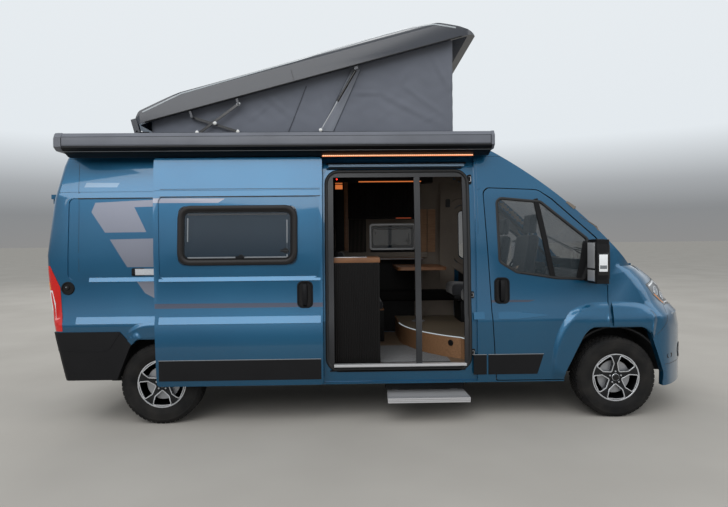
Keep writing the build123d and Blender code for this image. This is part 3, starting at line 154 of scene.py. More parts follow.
stripes = {  # side graphics as convex outlines in x and z, metres, seen from the right
    "grey": tone(128, 128, 138), "dusk": tone(66, 66, 80), "pale": tone(92, 118, 140),
    "quarter": {
        "grey": [
            [(-2.469, 1.693), (-2.108, 1.695), (-2.217, 1.917), (-2.245, 1.972), (-2.559, 1.958),
             (-2.592, 1.876)],
            [(-2.26, 1.915), (-1.9, 1.925), (-1.9, 1.985), (-2.26, 1.972)],
            [(-2.272, 1.388), (-1.9, 1.386), (-1.9, 1.64), (-2.426, 1.632)],
            [(-2.115, 1.16), (-1.9, 1.04), (-1.9, 1.275), (-2.196, 1.275)],
        ],
        "pale": [[(-2.66, 2.096), (-2.372, 2.094), (-2.35, 2.133), (-2.64, 2.137)]],
    },
    "slider": {
        "grey": [[(-2.1, 1.945), (-1.46, 1.942), (-1.4, 1.98), (-2.1, 1.986)]],
        "dusk": [[(-2.02, 1.03), (-0.54, 1.03), (-0.54, 1.068), (-2.02, 1.072)]],
    },
    "door": {"dusk": [[(0.7, 1.04), (1.27, 1.042), (1.33, 1.06), (0.7, 1.064)]]},
}


def carPaint(name, marks=None):
    f = Finish(name)
    flake = f.noise(900, 1)
    cloud = f.noise(1.4, 2)
    colour = f.mix(f.between(cloud, 0.3, 0.7), tone(6, 77, 112), tone(10, 83, 118))
    colour = f.mix(f.between(flake, 0.55, 0.75) * 0.25, colour, tone(64, 130, 158))
    if marks:
        x, y, z = f.axes()
        right = f.between(y, -0.6, -0.7)
        for ink, outlines in stripes[marks].items():
            mask = None
            for corners in outlines:
                one = patch(f, x, z, corners)
                mask = one if mask is None else f.maths("MAXIMUM", mask, one)
            colour = f.mix(mask * right * 0.88, colour, stripes[ink])
    dust = f.noise(5, 4)
    return f.surface(Base_Color=colour, Metallic=0.7, Roughness=0.27 + flake * 0.06 + dust * 0.05,
            Coat_Weight=1.0,
            Coat_Roughness=0.04, Normal=f.bump(f.noise(2.2, 1), 0.05, 0.004))


def plastic(name, colour, rough, sheen=0.5, grain=900, depth=0.0003):
    f = Finish(name)
    speck = f.noise(grain, 3)
    patchy = f.noise(3.5, 3)
    shade = f.mix(f.between(patchy, 0.25, 0.75), shaded(colour, 0.88), shaded(colour, 1.12))
    return f.surface(Base_Color=shade, Roughness=rough + (patchy - 0.5) * 0.12, Specular_IOR_Level=sheen,
            Normal=f.bump(speck, 0.35, depth))


def metal(name, colour, rough, metallic=1.0, brushed=(1, 1, 1)):
    f = Finish(name)
    streak = f.noise(60, 4, 0.6, brushed)
    shade = f.mix(f.between(streak, 0.3, 0.7), shaded(colour, 0.86), colour)
    return f.surface(Base_Color=shade, Metallic=metallic, Roughness=rough + (streak - 0.5) * 0.14,
            Normal=f.bump(streak, 0.12, 0.0003))


def glassy(name, tint, alpha, rough=0.03):
    f = Finish(name)
    smear = f.noise(4, 3)
    shade = f.mix(f.between(smear, 0.3, 0.7), tint, shaded(tint, 0.9))
    return f.surface(Base_Color=shade, Roughness=rough + smear * 0.03, Alpha=alpha, IOR=1.5,
            Coat_Weight=0.6, Coat_Roughness=0.02)


def fabric(name, colour, weave=900, depth=0.0006, spread=0.12, sheen=0.25):
    f = Finish(name)
    x, y, z = f.axes()
    thread = f.maths("SINE", (x + y * 0.37) * weave) * f.maths("SINE", (z + y * 0.61) * weave)
    worn = f.noise(2.6, 4)
    fuzz = f.noise(420, 2)
    shade = f.mix(f.between(worn, 0.28, 0.72), shaded(colour, 1 - spread), shaded(colour, 1 + spread))
    shade = f.mix((thread * 0.5 + 0.5) * 0.25 + fuzz * 0.1, shade, shaded(colour, 0.6))
    return f.surface(Base_Color=shade, Roughness=0.86, Sheen_Weight=sheen,
            Normal=f.bump(thread * 0.6 + fuzz, 0.4, depth))


def timber(name, light, darkTone):
    f = Finish(name)
    along, dark = (1, 8, 8), tone(*darkTone)
    grain = f.noise(9, 6, 0.62, along)
    fine = f.noise(60, 4, 0.6, along)
    shade = f.mix(f.between(grain, 0.32, 0.68), light, dark)
    shade = f.mix(fine * 0.3, shade, dark)
    return f.surface(Base_Color=shade, Roughness=0.42 + fine * 0.15,
            Normal=f.bump(grain + fine * 0.6, 0.16, 0.0006))


def tyreRubber(name):
    f = Finish(name)
    dust = f.noise(7, 5)
    shade = f.mix(f.between(dust, 0.35, 0.75), tone(14, 14, 15), tone(38, 36, 34))
    return f.surface(Base_Color=shade, Roughness=0.78 + dust * 0.1, Specular_IOR_Level=0.25,
            Normal=f.bump(f.noise(340, 3), 0.3, 0.0006))


def glowing(name, colour, strength):
    f = Finish(name)
    shade = f.mix(f.noise(120, 1), colour, shaded(colour, 1.3))
    return f.surface(Base_Color=shade, Roughness=0.4, Emission_Color=shade, Emission_Strength=strength)


def floorPan(name):  # vinyl on the living floor, black paint on the bulkhead and under the windscreen
    f = Finish(name)
    x, z = f.axes()[::2]
    plank = f.noise(3, 4, 0.6, (1, 9, 9))
    vinyl = f.mix(f.between(plank, 0.3, 0.7), tone(112, 92, 72), tone(92, 76, 60))
    black = f.maths("MAXIMUM", f.between(x, 1.9, 1.93), 1 - f.between(z, 0.4775, 0.479))
    shade = f.mix(black, vinyl, tone(15, 15, 16))
    return f.surface(Base_Color=shade, Roughness=0.6 + plank * 0.1,
            Normal=f.bump(f.noise(500, 3), 0.35, 0.0003))


finishes = {"floorLining": floorPan("floorLining"), "rubber": tyreRubber("rubber"),
            "paint": carPaint("paint")}
for marks in ("quarter", "slider", "door"):
    finishes[marks + "Paint"] = carPaint(marks + "Paint", marks)
finishRows = {  # colour of 0 to 255, then the other values that each kind takes
    plastic: {
        "blackTrim": ((17, 17, 19), 0.55, 0.2, 700, 0.0005),
        "trimEdge": ((112, 116, 120), 0.35, 0.5, 300, 0.0002),
        "softBlack": ((13, 13, 15), 0.62, 0.2),
        "glossBlack": ((14, 14, 16), 0.14, 0.5, 60, 0.00005),
        # seal colour, also used as painted shade: the dark strip under the side recess's overhanging top
        # edge
        "seal": ((18, 18, 19), 0.6, 0.5, 500),
        "windowFrame": ((30, 28, 28), 0.4, 0.2, 600, 0.0002),
        "shellGrey": ((48, 51, 58), 0.22, 0.5, 250, 0.0001),
        # painted highlight: a pale strip standing in for the sky's reflection on the roof shell's top edge
        "shellRim": ((150, 156, 160), 0.34, 0.5, 250, 0.0001),
        "awningGrey": ((94, 97, 105), 0.34, 0.5, 1200, 0.0001),
        "awningDark": ((11, 12, 15), 0.4, 0.2, 900, 0.0001),
        "frameGrey": ((27, 28, 31), 0.4, 0.5, 900, 0.0001),
        "lining": ((112, 102, 92), 0.75),
        "underbody": ((34, 34, 35), 0.7, 0.2, 300, 0.0006),
        "plate": ((214, 214, 208), 0.35, 0.5, 200, 0.0001),
        "darkBoard": ((16, 15, 15), 0.6, 0.2, 400, 0.0002),
        "boardDark": ((14, 13, 13), 0.6, 0.2, 400, 0.0002),
        "ribBoard": ((15, 13, 13), 0.55, 0.2, 400, 0.0002),
        "podiumTop": ((96, 84, 68), 0.6, 0.5, 500, 0.0004),
    },
    metal: {
        "railBlue": ((150, 176, 200), 0.3, 0.6, (1, 20, 20)),
        "alloyBlack": ((26, 27, 29), 0.3, 0.4),
        "machined": ((214, 216, 220), 0.3, 0.75),
        "iron": ((62, 60, 58), 0.6),
        "silver": ((206, 206, 208), 0.36, 0.55, (1, 20, 20)),
        "steel": ((170, 172, 176), 0.34, 0.7, (20, 1, 20)),
    },
    glassy: {
        "glass": ((60, 70, 76), 0.3),
        "darkGlass": ((26, 44, 58), 0.74),
        "clearLens": ((214, 222, 230), 0.42),
        "redLens": ((196, 20, 14), 0.95, 0.12),
        "whiteLens": ((238, 240, 242), 0.97, 0.12),
        "amberLens": ((236, 140, 30), 0.95, 0.12),
        "lampGlass": ((38, 42, 48), 0.97),
    },
    fabric: {
        "carpet": ((45, 47, 50), 500, 0.002, 0.1, 0.3),
        "seatCloth": ((36, 37, 41), 1400),
        "piping": ((66, 68, 74), 1800, 0.0003),
        "bedCloth": ((186, 180, 170), 1100),
        "tentCloth": ((98, 102, 112), 1900, 0.0003, 0.08, 0.1),
        "tentBand": ((122, 126, 135), 1900, 0.0003, 0.06, 0.1),
        "tentSeam": ((66, 69, 78), 2600, 0.0003, 0.06, 0.1),
    },
    timber: {
        "pearWood": ((122, 82, 50), (100, 64, 38)),
        "podiumWood": ((150, 112, 80), (124, 90, 62)),
    },
    glowing: {
        "warmGlow": ((250, 200, 164), 1.2),
        "amberGlow": ((214, 128, 84), 0.9),
        "whiteGlow": ((150, 158, 162), 0.8),
        "softGlow": ((205, 112, 58), 0.75),
        "dimGlow": ((150, 62, 34), 0.5),
        "redGlow": ((255, 40, 30), 3.0),
    },
}
for kind, rows in finishRows.items():
    for name, (colour, *values) in rows.items():
        finishes[name] = kind(name, tone(*colour), *values)
print("finishes made:", len(finishes))


# Carried-over nodes are welded, smoothed by angle and given their finish.

cadFinish = {
    "quarterPaint": ("side_panel_right",),
    "paint": ("side_panel_left", "roof_panel", "front_bumper", "front_wings", "bonnet", "cab_door_left",
              "rear_door_right", "rear_door_left"),
    "sliderPaint": ("sliding_door",),
    "darkGlass": ("living_windows", "rear_glass_right", "rear_glass_left"),
    "glass": ("windscreen", "cab_glass_right", "cab_glass_left"),
    "lampGlass": ("headlamps",),
    "softBlack": ("grille", "door_mirror_right", "door_mirror_left", "dashboard", "steering_wheel",
        "roof_frame"),
    "doorPaint": ("cab_door_right",),
    "redLens": ("tail_lamps",),
    "blackTrim": ("rear_bumper",),
    "rubber": ("tyre_front_right", "tyre_front_left", "tyre_rear_right", "tyre_rear_left"),
    "alloyBlack": ("rim_front_right", "rim_front_left", "rim_rear_right", "rim_rear_left"),
    "iron": ("knuckle_right", "knuckle_left", "engine_block"),
    "underbody": ("chassis_frame", "rear_axle", "wheel_housings", "step_cassette", "underfloor_gear"),
    "floorLining": ("floor_pan",),
    "podiumWood": ("cab_podium",),
    "seatCloth": ("cab_seats",),
    "darkBoard": ("kitchen_unit", "tall_furniture", "bench_seat"),
    "pearWood": ("dining_table", "bed_platform"),
    "bedCloth": ("mattress",),
    "frameGrey": ("fly_screen", "stays_falling"),
    "awningGrey": ("awning",),
    "shellGrey": ("roof_shell",),
    "glossBlack": ("stays_rising", "gas_tubes"),
    "steel": ("gas_rods",),
    "tentCloth": ("tent",),
    "silver": ("step_tread",),
}


def softenNode(node, finish, angle=28):
    node.data.materials.clear()
    node.data.materials.append(finishes[finish])
    node.data.polygons.foreach_set("use_smooth", [True] * len(node.data.polygons))
    weld = node.modifiers.new("weld", "WELD")
    weld.merge_threshold = 0.00005
    split = node.modifiers.new("creases", "EDGE_SPLIT")
    split.split_angle = math.radians(angle)


for finish, names in cadFinish.items():
    for name in names:
        softenNode(nodes[name], finish)
print("nodes finished")


# Places on the body: u runs along the van or across it, v is the height and w stands out from the skin.

bodySection = {  # heights and half-widths of the body's side, as in the CAD
    "heights": (0.28, 0.43, 0.893, 0.955, 1.5, 2.0, 2.488),
    "halves": (1.005, 1.025, 1.025, 1.004, 0.985, 0.94, 0.858),
}


def halfWidth(z):
    heights, halves = bodySection["heights"], bodySection["halves"]
    for low, high, first, second in zip(heights, heights[1:], halves, halves[1:]):
        if z <= high:
            return first + max(0, (z - low) / (high - low)) * (second - first)
    return halves[-1]


def onSide(side, proud=0.0):
    return lambda u, v, w: Vector((u, side * (halfWidth(v) + proud + w), v))


def mirrored(place, side, sink=0.0):  # a place found on the right side, on either side
    def either(u, v, w):
        spot = place(u, v, w - sink)
        return Vector((spot.x, spot.y * -side, spot.z))
    return either


def treeOf(*names):
    points, faces = [], []
    for name in names:
        mesh = nodes[name].data
        start = len(points)
        points.extend(vertex.co.copy() for vertex in mesh.vertices)
        faces.extend([start + index for index in polygon.vertices] for polygon in mesh.polygons)
    return BVHTree.FromPolygons(points, faces)


# the outermost skin met from the right (y, -1), left, front (x, 1), rear or above (z, 1)
def onSkin(tree, axis, sign):
    aim = Vector([-sign if axis == letter else 0 for letter in "xyz"])

    def place(u, v, w):
        start = {"y": Vector((u, sign * 3, v)), "x": Vector((sign * 6, u, v)),
                 "z": Vector((u, v, sign * 6))}[axis]
        hit, normal = tree.ray_cast(start, aim)[:2]
        if hit is None:
            hit, normal = tree.find_nearest(start + aim * (2 if axis == "y" else 3.1))[:2]
        return hit + (normal if normal.dot(aim) < 0 else -normal) * w
    return place


def rounded(corners, radius, steps=5):
    line = []
    for index, corner in enumerate(corners):
        here = Vector(corner)
        before, after = Vector(corners[index - 1]) - here, Vector(corners[(index + 1) % len(corners)]) - here
        wanted = radius[index] if isinstance(radius, (list, tuple)) else radius
        first, second = before.normalized(), after.normalized()
        half = first.angle(second) / 2
        reach = min(wanted / math.tan(half), 0.49 * before.length, 0.49 * after.length) if wanted else 0
        if reach < 1e-5:
            line.append(here)
            continue
        centre = here + (first + second).normalized() * (reach / math.cos(half))
        start, end = here + first * reach - centre, here + second * reach - centre
        from_, to = math.atan2(start.y, start.x), math.atan2(end.y, end.x)
        swing = (to - from_ + math.pi) % (2 * math.pi) - math.pi
        for step in range(steps + 1):
            angle = from_ + swing * step / steps
            line.append(centre + Vector((math.cos(angle), math.sin(angle))) * start.length)
    return line


def rect(u0, v0, u1, v1, radius, steps=3):
    return rounded([(u0, v0), (u1, v0), (u1, v1), (u0, v1)], radius, steps)


def spaced(line, step, closed=True):
    line = [Vector(point) for point in line]
    pairs = list(zip(line, line[1:] + line[:1])) if closed else list(zip(line, line[1:]))
    result = []
    for first, second in pairs:
        count = max(1, math.ceil((second - first).length / step))
        result.extend(first.lerp(second, index / count) for index in range(count))
    return result if closed else result + [line[-1]]


def compass(sides):  # cosine and sine of equal steps round a circle
    return [(math.cos(2 * math.pi * k / sides), math.sin(2 * math.pi * k / sides)) for k in range(sides)]


def circle(u, v, radius, sides=24):
    return [Vector((u + radius * c, v + radius * s)) for c, s in compass(sides)]


def inset(line, amount):
    line = [Vector(point) for point in line]
    area = sum(a.x * b.y - b.x * a.y for a, b in zip(line, line[1:] + line[:1]))
    turned = []
    for index, here in enumerate(line):
        first = (here - line[index - 1]).normalized()
        second = (line[(index + 1) % len(line)] - here).normalized()
        normal = Vector((-first.y - second.y, first.x + second.x)).normalized()
        share = max(0.4, normal.dot(Vector((-first.y, first.x))))
        turned.append(here + normal * (amount / share) * (1 if area > 0 else -1))
    return turned


def padding(width, thick, chamfer=0.002, sink=0.0):  # profile of a flat strip with eased edges
    half = width / 2
    return [(-half, -sink), (-half, thick - chamfer), (-half + chamfer, thick),
            (half - chamfer, thick), (half, thick - chamfer), (half, -sink)]


def enter(name, data, body=None):  # puts a mesh into the scene, on its body
    piece = bpy.data.objects.new(name, data)
    scene.collection.objects.link(piece)
    if body:
        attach(piece, body)
    return piece


class Shape:
    def __init__(self, place=None):
        self.mesh = bmesh.new()
        self.place = place or (lambda u, v, w: Vector((u, v, w)))
        self.inks = []
        self.index = 0

    def ink(self, name):
        if name not in self.inks:
            self.inks.append(name)
        self.index = self.inks.index(name)
        return self

    def on(self, place):
        self.place = place
        return self

    def facet(self, corners):
        if len(set(corners)) > 2:
            self.mesh.faces.new(corners).material_index = self.index

    def loft(self, rings, closed=False, ring=True, caps=True):
        made = [[self.mesh.verts.new(point) for point in points] for points in rings]
        count = len(made[0])
        for first, second in list(zip(made, made[1:])) + ([(made[-1], made[0])] if closed else []):
            for index in range(count if ring else count - 1):
                after = (index + 1) % count
                self.facet([first[index], first[after], second[after], second[index]])
        if caps and not closed:
            self.facet(made[0][::-1])
            self.facet(made[-1])

    # profile of (across, out) along a path in u and v
    def sweep(self, path, profile, closed=True, caps=True):
        path = [Vector(point) for point in path]
        rings = []
        for index, here in enumerate(path):
            before = path[index - 1] if closed or index else here * 2 - path[1]
            after = path[(index + 1) % len(path)] if closed or index < len(path) - 1 else here * 2 - path[-2]
            first, second = (here - before).normalized(), (after - here).normalized()
            normal = Vector((-first.y - second.y, first.x + second.x)).normalized()
            normal /= max(0.5, normal.dot(Vector((-first.y, first.x))))
            rings.append([self.place(here.x + normal.x * across, here.y + normal.y * across, out)
                          for across, out in profile])
        self.loft(rings, closed, True, caps)

    def strip(self, line, width, thick, chamfer, sink, step=0):  # flat strip along an open line
        self.sweep(spaced(line, step, False) if step else line, padding(width, thick, chamfer, sink), False)

    def lines(self, rows):
        for ink, line, *profile in rows:
            self.ink(ink).strip(line, *profile)

    def slab(self, outline, low, high, chamfer=0.003):  # plate with an eased outer edge
        inner = inset(outline, chamfer) if chamfer else outline
        rings = [[self.place(u, v, low) for u, v in outline],
                 [self.place(u, v, high - chamfer) for u, v in outline]]
        if chamfer:
            rings.append([self.place(u, v, high) for u, v in inner])
        self.loft(rings)

    def box(self, low, high, chamfer=0.004, segments=2):
        made = bmesh.new()
        bmesh.ops.create_cube(made, size=1)
        size = [b - a for a, b in zip(low, high)]
        for vertex in made.verts:
            vertex.co = Vector([a + s * (c + 0.5) for a, s, c in zip(low, size, vertex.co)])
        bmesh.ops.bevel(made, geom=made.edges[:], offset=min(chamfer, min(size) * 0.45), segments=segments,
                affect="EDGES", profile=0.6)
        self.join(made)

    def boxes(self, *rows):
        for ink, low, high, chamfer in rows:
            self.ink(ink).box(low, high, chamfer)

    def join(self, made):
        copies = {vertex: self.mesh.verts.new(self.place(*vertex.co)) for vertex in made.verts}
        for face in made.faces:
            self.facet([copies[vertex] for vertex in face.verts])
        made.free()

    def rod(self, points, radius, sides=8, closed=False):
        points = [self.place(*point) for point in points]
        side = None
        rings = []
        for index, here in enumerate(points):
            before = points[index - 1] if closed or index else here
            after = points[(index + 1) % len(points)] if closed or index < len(points) - 1 else here
            along = (after - before).normalized()
            side = along.orthogonal() if side is None else side - along * side.dot(along)
            side.normalize()
            other = along.cross(side)
            thick = radius[index] if isinstance(radius, (list, tuple)) else radius
            rings.append([here + (side * c + other * s) * thick for c, s in compass(sides)])
        self.loft(rings, closed)

    def turn(self, profile, centre, axis, sides=32):  # profile of (radius, along the axis), turned about it
        axis = Vector(axis).normalized()
        side = axis.orthogonal().normalized()
        other = axis.cross(side)
        rings = [[Vector(centre) + axis * along + (side * c + other * s) * max(radius, 1e-4) for c,
                  s in compass(sides)]
                 for radius, along in profile]
        self.loft(rings)

    def sheetOf(self, grid):  # open surface through rows of points
        self.loft(grid, False, False, False)

    def done(self, name, body="body", slot="black_plastic", smooth=32, weld=0.0):
        if weld:
            bmesh.ops.remove_doubles(self.mesh, verts=self.mesh.verts[:], dist=weld)
        bmesh.ops.recalc_face_normals(self.mesh, faces=self.mesh.faces[:])
        data = bpy.data.meshes.new(name)
        self.mesh.to_mesh(data)
        self.mesh.free()
        for ink in self.inks:
            data.materials.append(finishes[ink])
        data.polygons.foreach_set("use_smooth", [True] * len(data.polygons))
        piece = enter(name, data, body)
        if smooth:
            split = piece.modifiers.new("creases", "EDGE_SPLIT")
            split.split_angle = math.radians(smooth)
        return piece


def repeated(name, unit, spots, finish):
    # Copies of a unit on spots of (place, turn), made by Geometry Nodes and turned into one mesh
    carrier = bpy.data.meshes.new(name + "Spots")
    carrier.from_pydata([place for place, turn in spots], [], [])
    turns = carrier.attributes.new("turn", "FLOAT_VECTOR", "POINT")
    turns.data.foreach_set("vector", [value for place, turn in spots for value in turn])
    holder = enter(name + "Holder", carrier)
    tree = bpy.data.node_groups.new(name + "Repeat", "GeometryNodeTree")
    tree.interface.new_socket("Spots", in_out="INPUT", socket_type="NodeSocketGeometry")
    tree.interface.new_socket("Unit", in_out="INPUT", socket_type="NodeSocketObject")
    tree.interface.new_socket("Copies", in_out="OUTPUT", socket_type="NodeSocketGeometry")
    start, end = tree.nodes.new("NodeGroupInput"), tree.nodes.new("NodeGroupOutput")
    info, placed = tree.nodes.new("GeometryNodeObjectInfo"), tree.nodes.new("GeometryNodeInstanceOnPoints")
    turning = tree.nodes.new("GeometryNodeInputNamedAttribute")
    dressed, real = tree.nodes.new("GeometryNodeSetMaterial"), tree.nodes.new("GeometryNodeRealizeInstances")
    turning.data_type = "FLOAT_VECTOR"
    turning.inputs["Name"].default_value = "turn"
    dressed.inputs["Material"].default_value = finishes[finish]
    for source, target in ((start.outputs["Spots"], placed.inputs["Points"]),
            (start.outputs["Unit"], info.inputs["Object"]),
            (info.outputs["Geometry"], placed.inputs["Instance"]),
            (turning.outputs["Attribute"], placed.inputs["Rotation"]),
            (placed.outputs["Instances"], real.inputs["Geometry"]),
            (real.outputs["Geometry"], dressed.inputs["Geometry"]),
            (dressed.outputs["Geometry"], end.inputs["Copies"])):
        tree.links.new(source, target)
    modifier = holder.modifiers.new("repeat", "NODES")
    modifier.node_group = tree
    modifier[tree.interface.items_tree["Unit"].identifier] = unit
    bpy.context.view_layer.update()
    made = bpy.data.meshes.new_from_object(holder.evaluated_get(bpy.context.evaluated_depsgraph_get()))
    made.name = name
    holder.modifiers.remove(modifier)
    bpy.data.objects.remove(holder)
    bpy.data.objects.remove(unit)
    return made


rightSide, leftSide, sliderSide = onSide(-1), onSide(1), onSide(-1, 0.085)
frontSkin = treeOf("front_bumper", "front_wings", "bonnet", "headlamps", "grille")
doorSkin = treeOf("cab_door_right", "front_wings", "front_bumper", "side_panel_right")
tailSkin = treeOf("side_panel_right", "side_panel_left", "rear_door_right", "rear_door_left",
        "rear_bumper", "tail_lamps",
        "roof_panel", "rear_glass_right", "rear_glass_left")
print("skins read")


# Wheels: tyres with tread and ribbed walls, and the machined parts of the rims

wheelPlan = {
    "wheels": {  # axle x and half track, as in the CAD
        "front_right": (2.051, -0.905), "front_left": (2.051, 0.905),
        "rear_right": (-1.984, -0.895), "rear_left": (-1.984, 0.895),
    },
    "hub": 0.356, "radius": 0.356, "groove": 0.0075, "wide": 0.1125, "rim": 0.214, "blocks": 52,
    "rows": ((-0.074, 0.03), (-0.038, 0.03), (0.0, 0.028), (0.038, 0.03), (0.074, 0.03)),
    "spokes": 5, "opening": ((0.062, 0), (0.112, 0.058), (0.183, 0.076), (0.19, 0), (0.183, -0.076),
        (0.112, -0.058)),
    "openingRadii": (0.01, 0.014, 0.012, 0, 0.012, 0.014),
}


def dishOut(radius):  # how far the rim's face stands out from the wheel's middle
    steps = ((0.0, 0.084), (0.07, 0.084), (0.165, 0.0985), (0.205, 0.0945), (0.216, 0.0945))
    for (r0, d0), (r1, d1) in zip(steps, steps[1:]):
        if radius <= r1:
            return d0 + (radius - r0) / (r1 - r0) * (d1 - d0)
    return steps[-1][1]


def treadBlocks():
    plan = wheelPlan
    unit = Shape()
    crown = plan["radius"] - plan["groove"]
    for index, (offset, wide) in enumerate(plan["rows"]):
        outer = index in (0, 4)
        long = 0.0335 if outer else 0.03
        high = plan["radius"] - (0.0022 if outer else 0.0006)
        skew = (0.004, -0.007, 0.007, -0.007, -0.004)[index]
        shift = 0.5 * (index % 2) * 2 * math.pi / plan["blocks"] * crown
        corners = [(shift - long / 2 - skew, offset - wide / 2),
                   (shift + long / 2 - skew, offset - wide / 2),
                   (shift + long / 2 + skew, offset + wide / 2),
                   (shift - long / 2 + skew, offset + wide / 2)]
        unit.slab([Vector(c) for c in corners], crown - 0.004, high, 0.0016)
        if not outer:  # sipe walls make the middle rows read as cut rubber
            unit.slab([Vector((shift - 0.0012, offset - wide * 0.42)),
                       Vector((shift + 0.0012, offset - wide * 0.42)),
                       Vector((shift + 0.0012, offset + wide * 0.42)),
                       Vector((shift - 0.0012, offset + wide * 0.42))],
                      high - 0.001, high + 0.0004, 0.0002)
    piece = unit.ink("rubber").done("treadUnit", None, None, 0)
    spots = [((0, 0, 0), (2 * math.pi * index / plan["blocks"], 0, 0)) for index in range(plan["blocks"])]
    # the unit lies across the crown, so x becomes the way round and y the axle
    for vertex in piece.data.vertices:
        x, y, z = vertex.co
        vertex.co = (y, x, z)
    return repeated("treadRing", piece, spots, "rubber")


def tyre(name, tread):
    plan = wheelPlan
    x, y = plan["wheels"][name]
    out = 1 if y > 0 else -1
    rubber = Shape().ink("rubber")
    wide, crown = plan["wide"], plan["radius"] - plan["groove"]
    wall = [(plan["rim"], wide - 0.018), (plan["rim"] + 0.004, wide - 0.011),
            (plan["rim"] + 0.012, wide - 0.009),
            (plan["rim"] + 0.018, wide - 0.0045), (plan["rim"] + 0.05, wide - 0.0005),
            (plan["rim"] + 0.053, wide + 0.0),
            (plan["rim"] + 0.056, wide - 0.0005), (plan["rim"] + 0.07, wide),
            (plan["rim"] + 0.084, wide - 0.001),
            (crown - 0.036, wide - 0.0035), (crown - 0.034, wide - 0.0022), (crown - 0.026, wide - 0.003),
            (crown - 0.024, wide - 0.0045), (crown - 0.006, wide - 0.016), (crown, wide - 0.03)]
    profile = wall + [(radius, -along) for radius, along in wall[::-1]]
    rubber.turn(profile + [(plan["rim"], -wide + 0.018), profile[0]], (x, y, plan["hub"]), (0, 1, 0), 72)
    lugs = 60
    for side in (-1, 1):  # shoulder ribs run down each wall
        for index in range(lugs):
            angle = 2 * math.pi * index / lugs
            ring = []
            for radius, along, half in ((crown - 0.004, wide - 0.018, 0.006),
                    (crown - 0.022, wide - 0.0052, 0.0045)):
                for turn in (-half, half):
                    a = angle + turn / radius
                    ring.append(Vector((x + radius * math.cos(a), y + side * (along + 0.0022),
                            plan["hub"] + radius * math.sin(a))))
            rubber.facet([rubber.mesh.verts.new(ring[k]) for k in (0, 1, 3, 2)])
    rubber.mesh.from_mesh(tread)
    for vertex in rubber.mesh.verts[-len(tread.vertices):]:
        vertex.co = Vector((x, y, plan["hub"])) + Vector((vertex.co.y, vertex.co.x * out, vertex.co.z))
    made = rubber.done("tyre_" + name, "wheel_" + name, "tyre")
    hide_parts("tyre_" + name)


def rimDress(name):
    plan = wheelPlan
    x, y = plan["wheels"][name]
    out = 1 if y > 0 else -1
    hub = Vector((x, y, plan["hub"]))

    def face(u, v, w):
        return hub + Vector((u, out * (dishOut(math.hypot(u, v)) + w), v))

    dress = Shape(face).ink("machined")
    for spoke in range(plan["spokes"]):
        angle = math.radians(-90 + 360 / plan["spokes"] * spoke)
        corners = [Vector((u * math.cos(angle) - v * math.sin(angle),
                u * math.sin(angle) + v * math.cos(angle)))
                   for u, v in plan["opening"]]
        line = spaced(rounded(corners, plan["openingRadii"], 4), 0.02)
        dress.sweep(inset(line, -0.0035), padding(0.0085, 0.0022, 0.0008))
    dress.sweep(circle(0, 0, 0.2075, 96),
                [(-0.0055, 0.0), (-0.0045, 0.003), (0.0035, 0.0035), (0.0055, 0.001), (0.0055, -0.002)])
    for bolt in range(5):
        angle = math.radians(-54 + 72 * bolt)
        u, v = 0.052 * math.cos(angle), 0.052 * math.sin(angle)
        dress.ink("machined").turn([(0.0085, 0.08), (0.0085, 0.089), (0.006, 0.092), (0, 0.092)],
                hub + Vector((u, 0, v)), (0, out, 0), 6)
        dress.ink("alloyBlack").turn([(0.0145, 0.083), (0.0145, 0.0855), (0.011, 0.0862), (0.011, 0.083)],
                hub + Vector((u, 0, v)), (0, out, 0), 20)
    dress.ink("glossBlack").turn([(0.034, 0.082), (0.034, 0.088), (0.03, 0.092), (0.012, 0.0935),
            (0, 0.0935)], hub, (0, out, 0), 40)
    dress.ink("machined").turn([(0.0325, 0.0875), (0.0335, 0.0895), (0.0305, 0.0925), (0.0295, 0.091)],
            hub, (0, out, 0), 40)
    dress.ink("iron").turn([(0.06, 0.02), (0.148, 0.02), (0.15, 0.022), (0.15, 0.042), (0.148, 0.044),
            (0.06, 0.044),
            (0.058, 0.052), (0.0, 0.052)], hub, (0, out, 0), 48)
    dress.ink("steel").turn([(0.086, 0.0445), (0.146, 0.0448), (0.146, 0.044), (0.086, 0.0438)], hub,
            (0, out, 0), 48)
    dress.done("rimDress_" + name, "wheel_" + name, "alloy", 40)


treadRing = treadBlocks()
for name in wheelPlan["wheels"]:
    tyre(name, treadRing)
    rimDress(name)
bpy.data.meshes.remove(treadRing)
print("wheels done")


# Side trims: black strips along the sills, seals and the doorway's rails

sideTrim = {
    "strip": (0.406, 0.583), "thick": 0.008, "edge": 0.006,
    "right": (  # body, proud of the wall, outline ends: rear x, front x low, front x high
        ("body", 0.085, -1.966, -0.572, -0.572),
        ("body", 0.0, 0.768, 0.884, 0.884),
        ("cab_door_right", 0.0, 0.9, 1.335, 1.392),
    ),
    "left": (
        ("body", 0.0, -1.5, 0.884, 0.884),
        ("cab_door_left", 0.0, 0.9, 1.335, 1.392),
    ),
}


def sillStrip(name, body, place, rear, frontLow, frontHigh, lean=0.0):
    low, high = sideTrim["strip"]
    strip = Shape(place).ink("blackTrim")
    rows = [low, 0.43, 0.5, high - 0.004]

    def front(v):
        return frontLow + (frontHigh - frontLow) * (v - low) / (high - low)
    outline = [Vector((rear + lean * (v - low), v)) for v in rows[::-1]] + [Vector((front(v), v))
            for v in rows]
    strip.slab(outline, -0.002, sideTrim["thick"], 0.003)
    strip.ink("trimEdge").sweep([(rear, high), (front(high), high)],
            padding(sideTrim["edge"], sideTrim["thick"] + 0.001, 0.002), False)
    return strip.done(name, body)


for index, (body, proud, rear, low, high) in enumerate(sideTrim["right"]):
    sillStrip(f"sillStripRight{index}", body, onSide(-1, proud), rear, low, high)
for index, (body, proud, rear, low, high) in enumerate(sideTrim["left"]):
    sillStrip(f"sillStripLeft{index}", body, onSide(1, proud), rear, low, high)

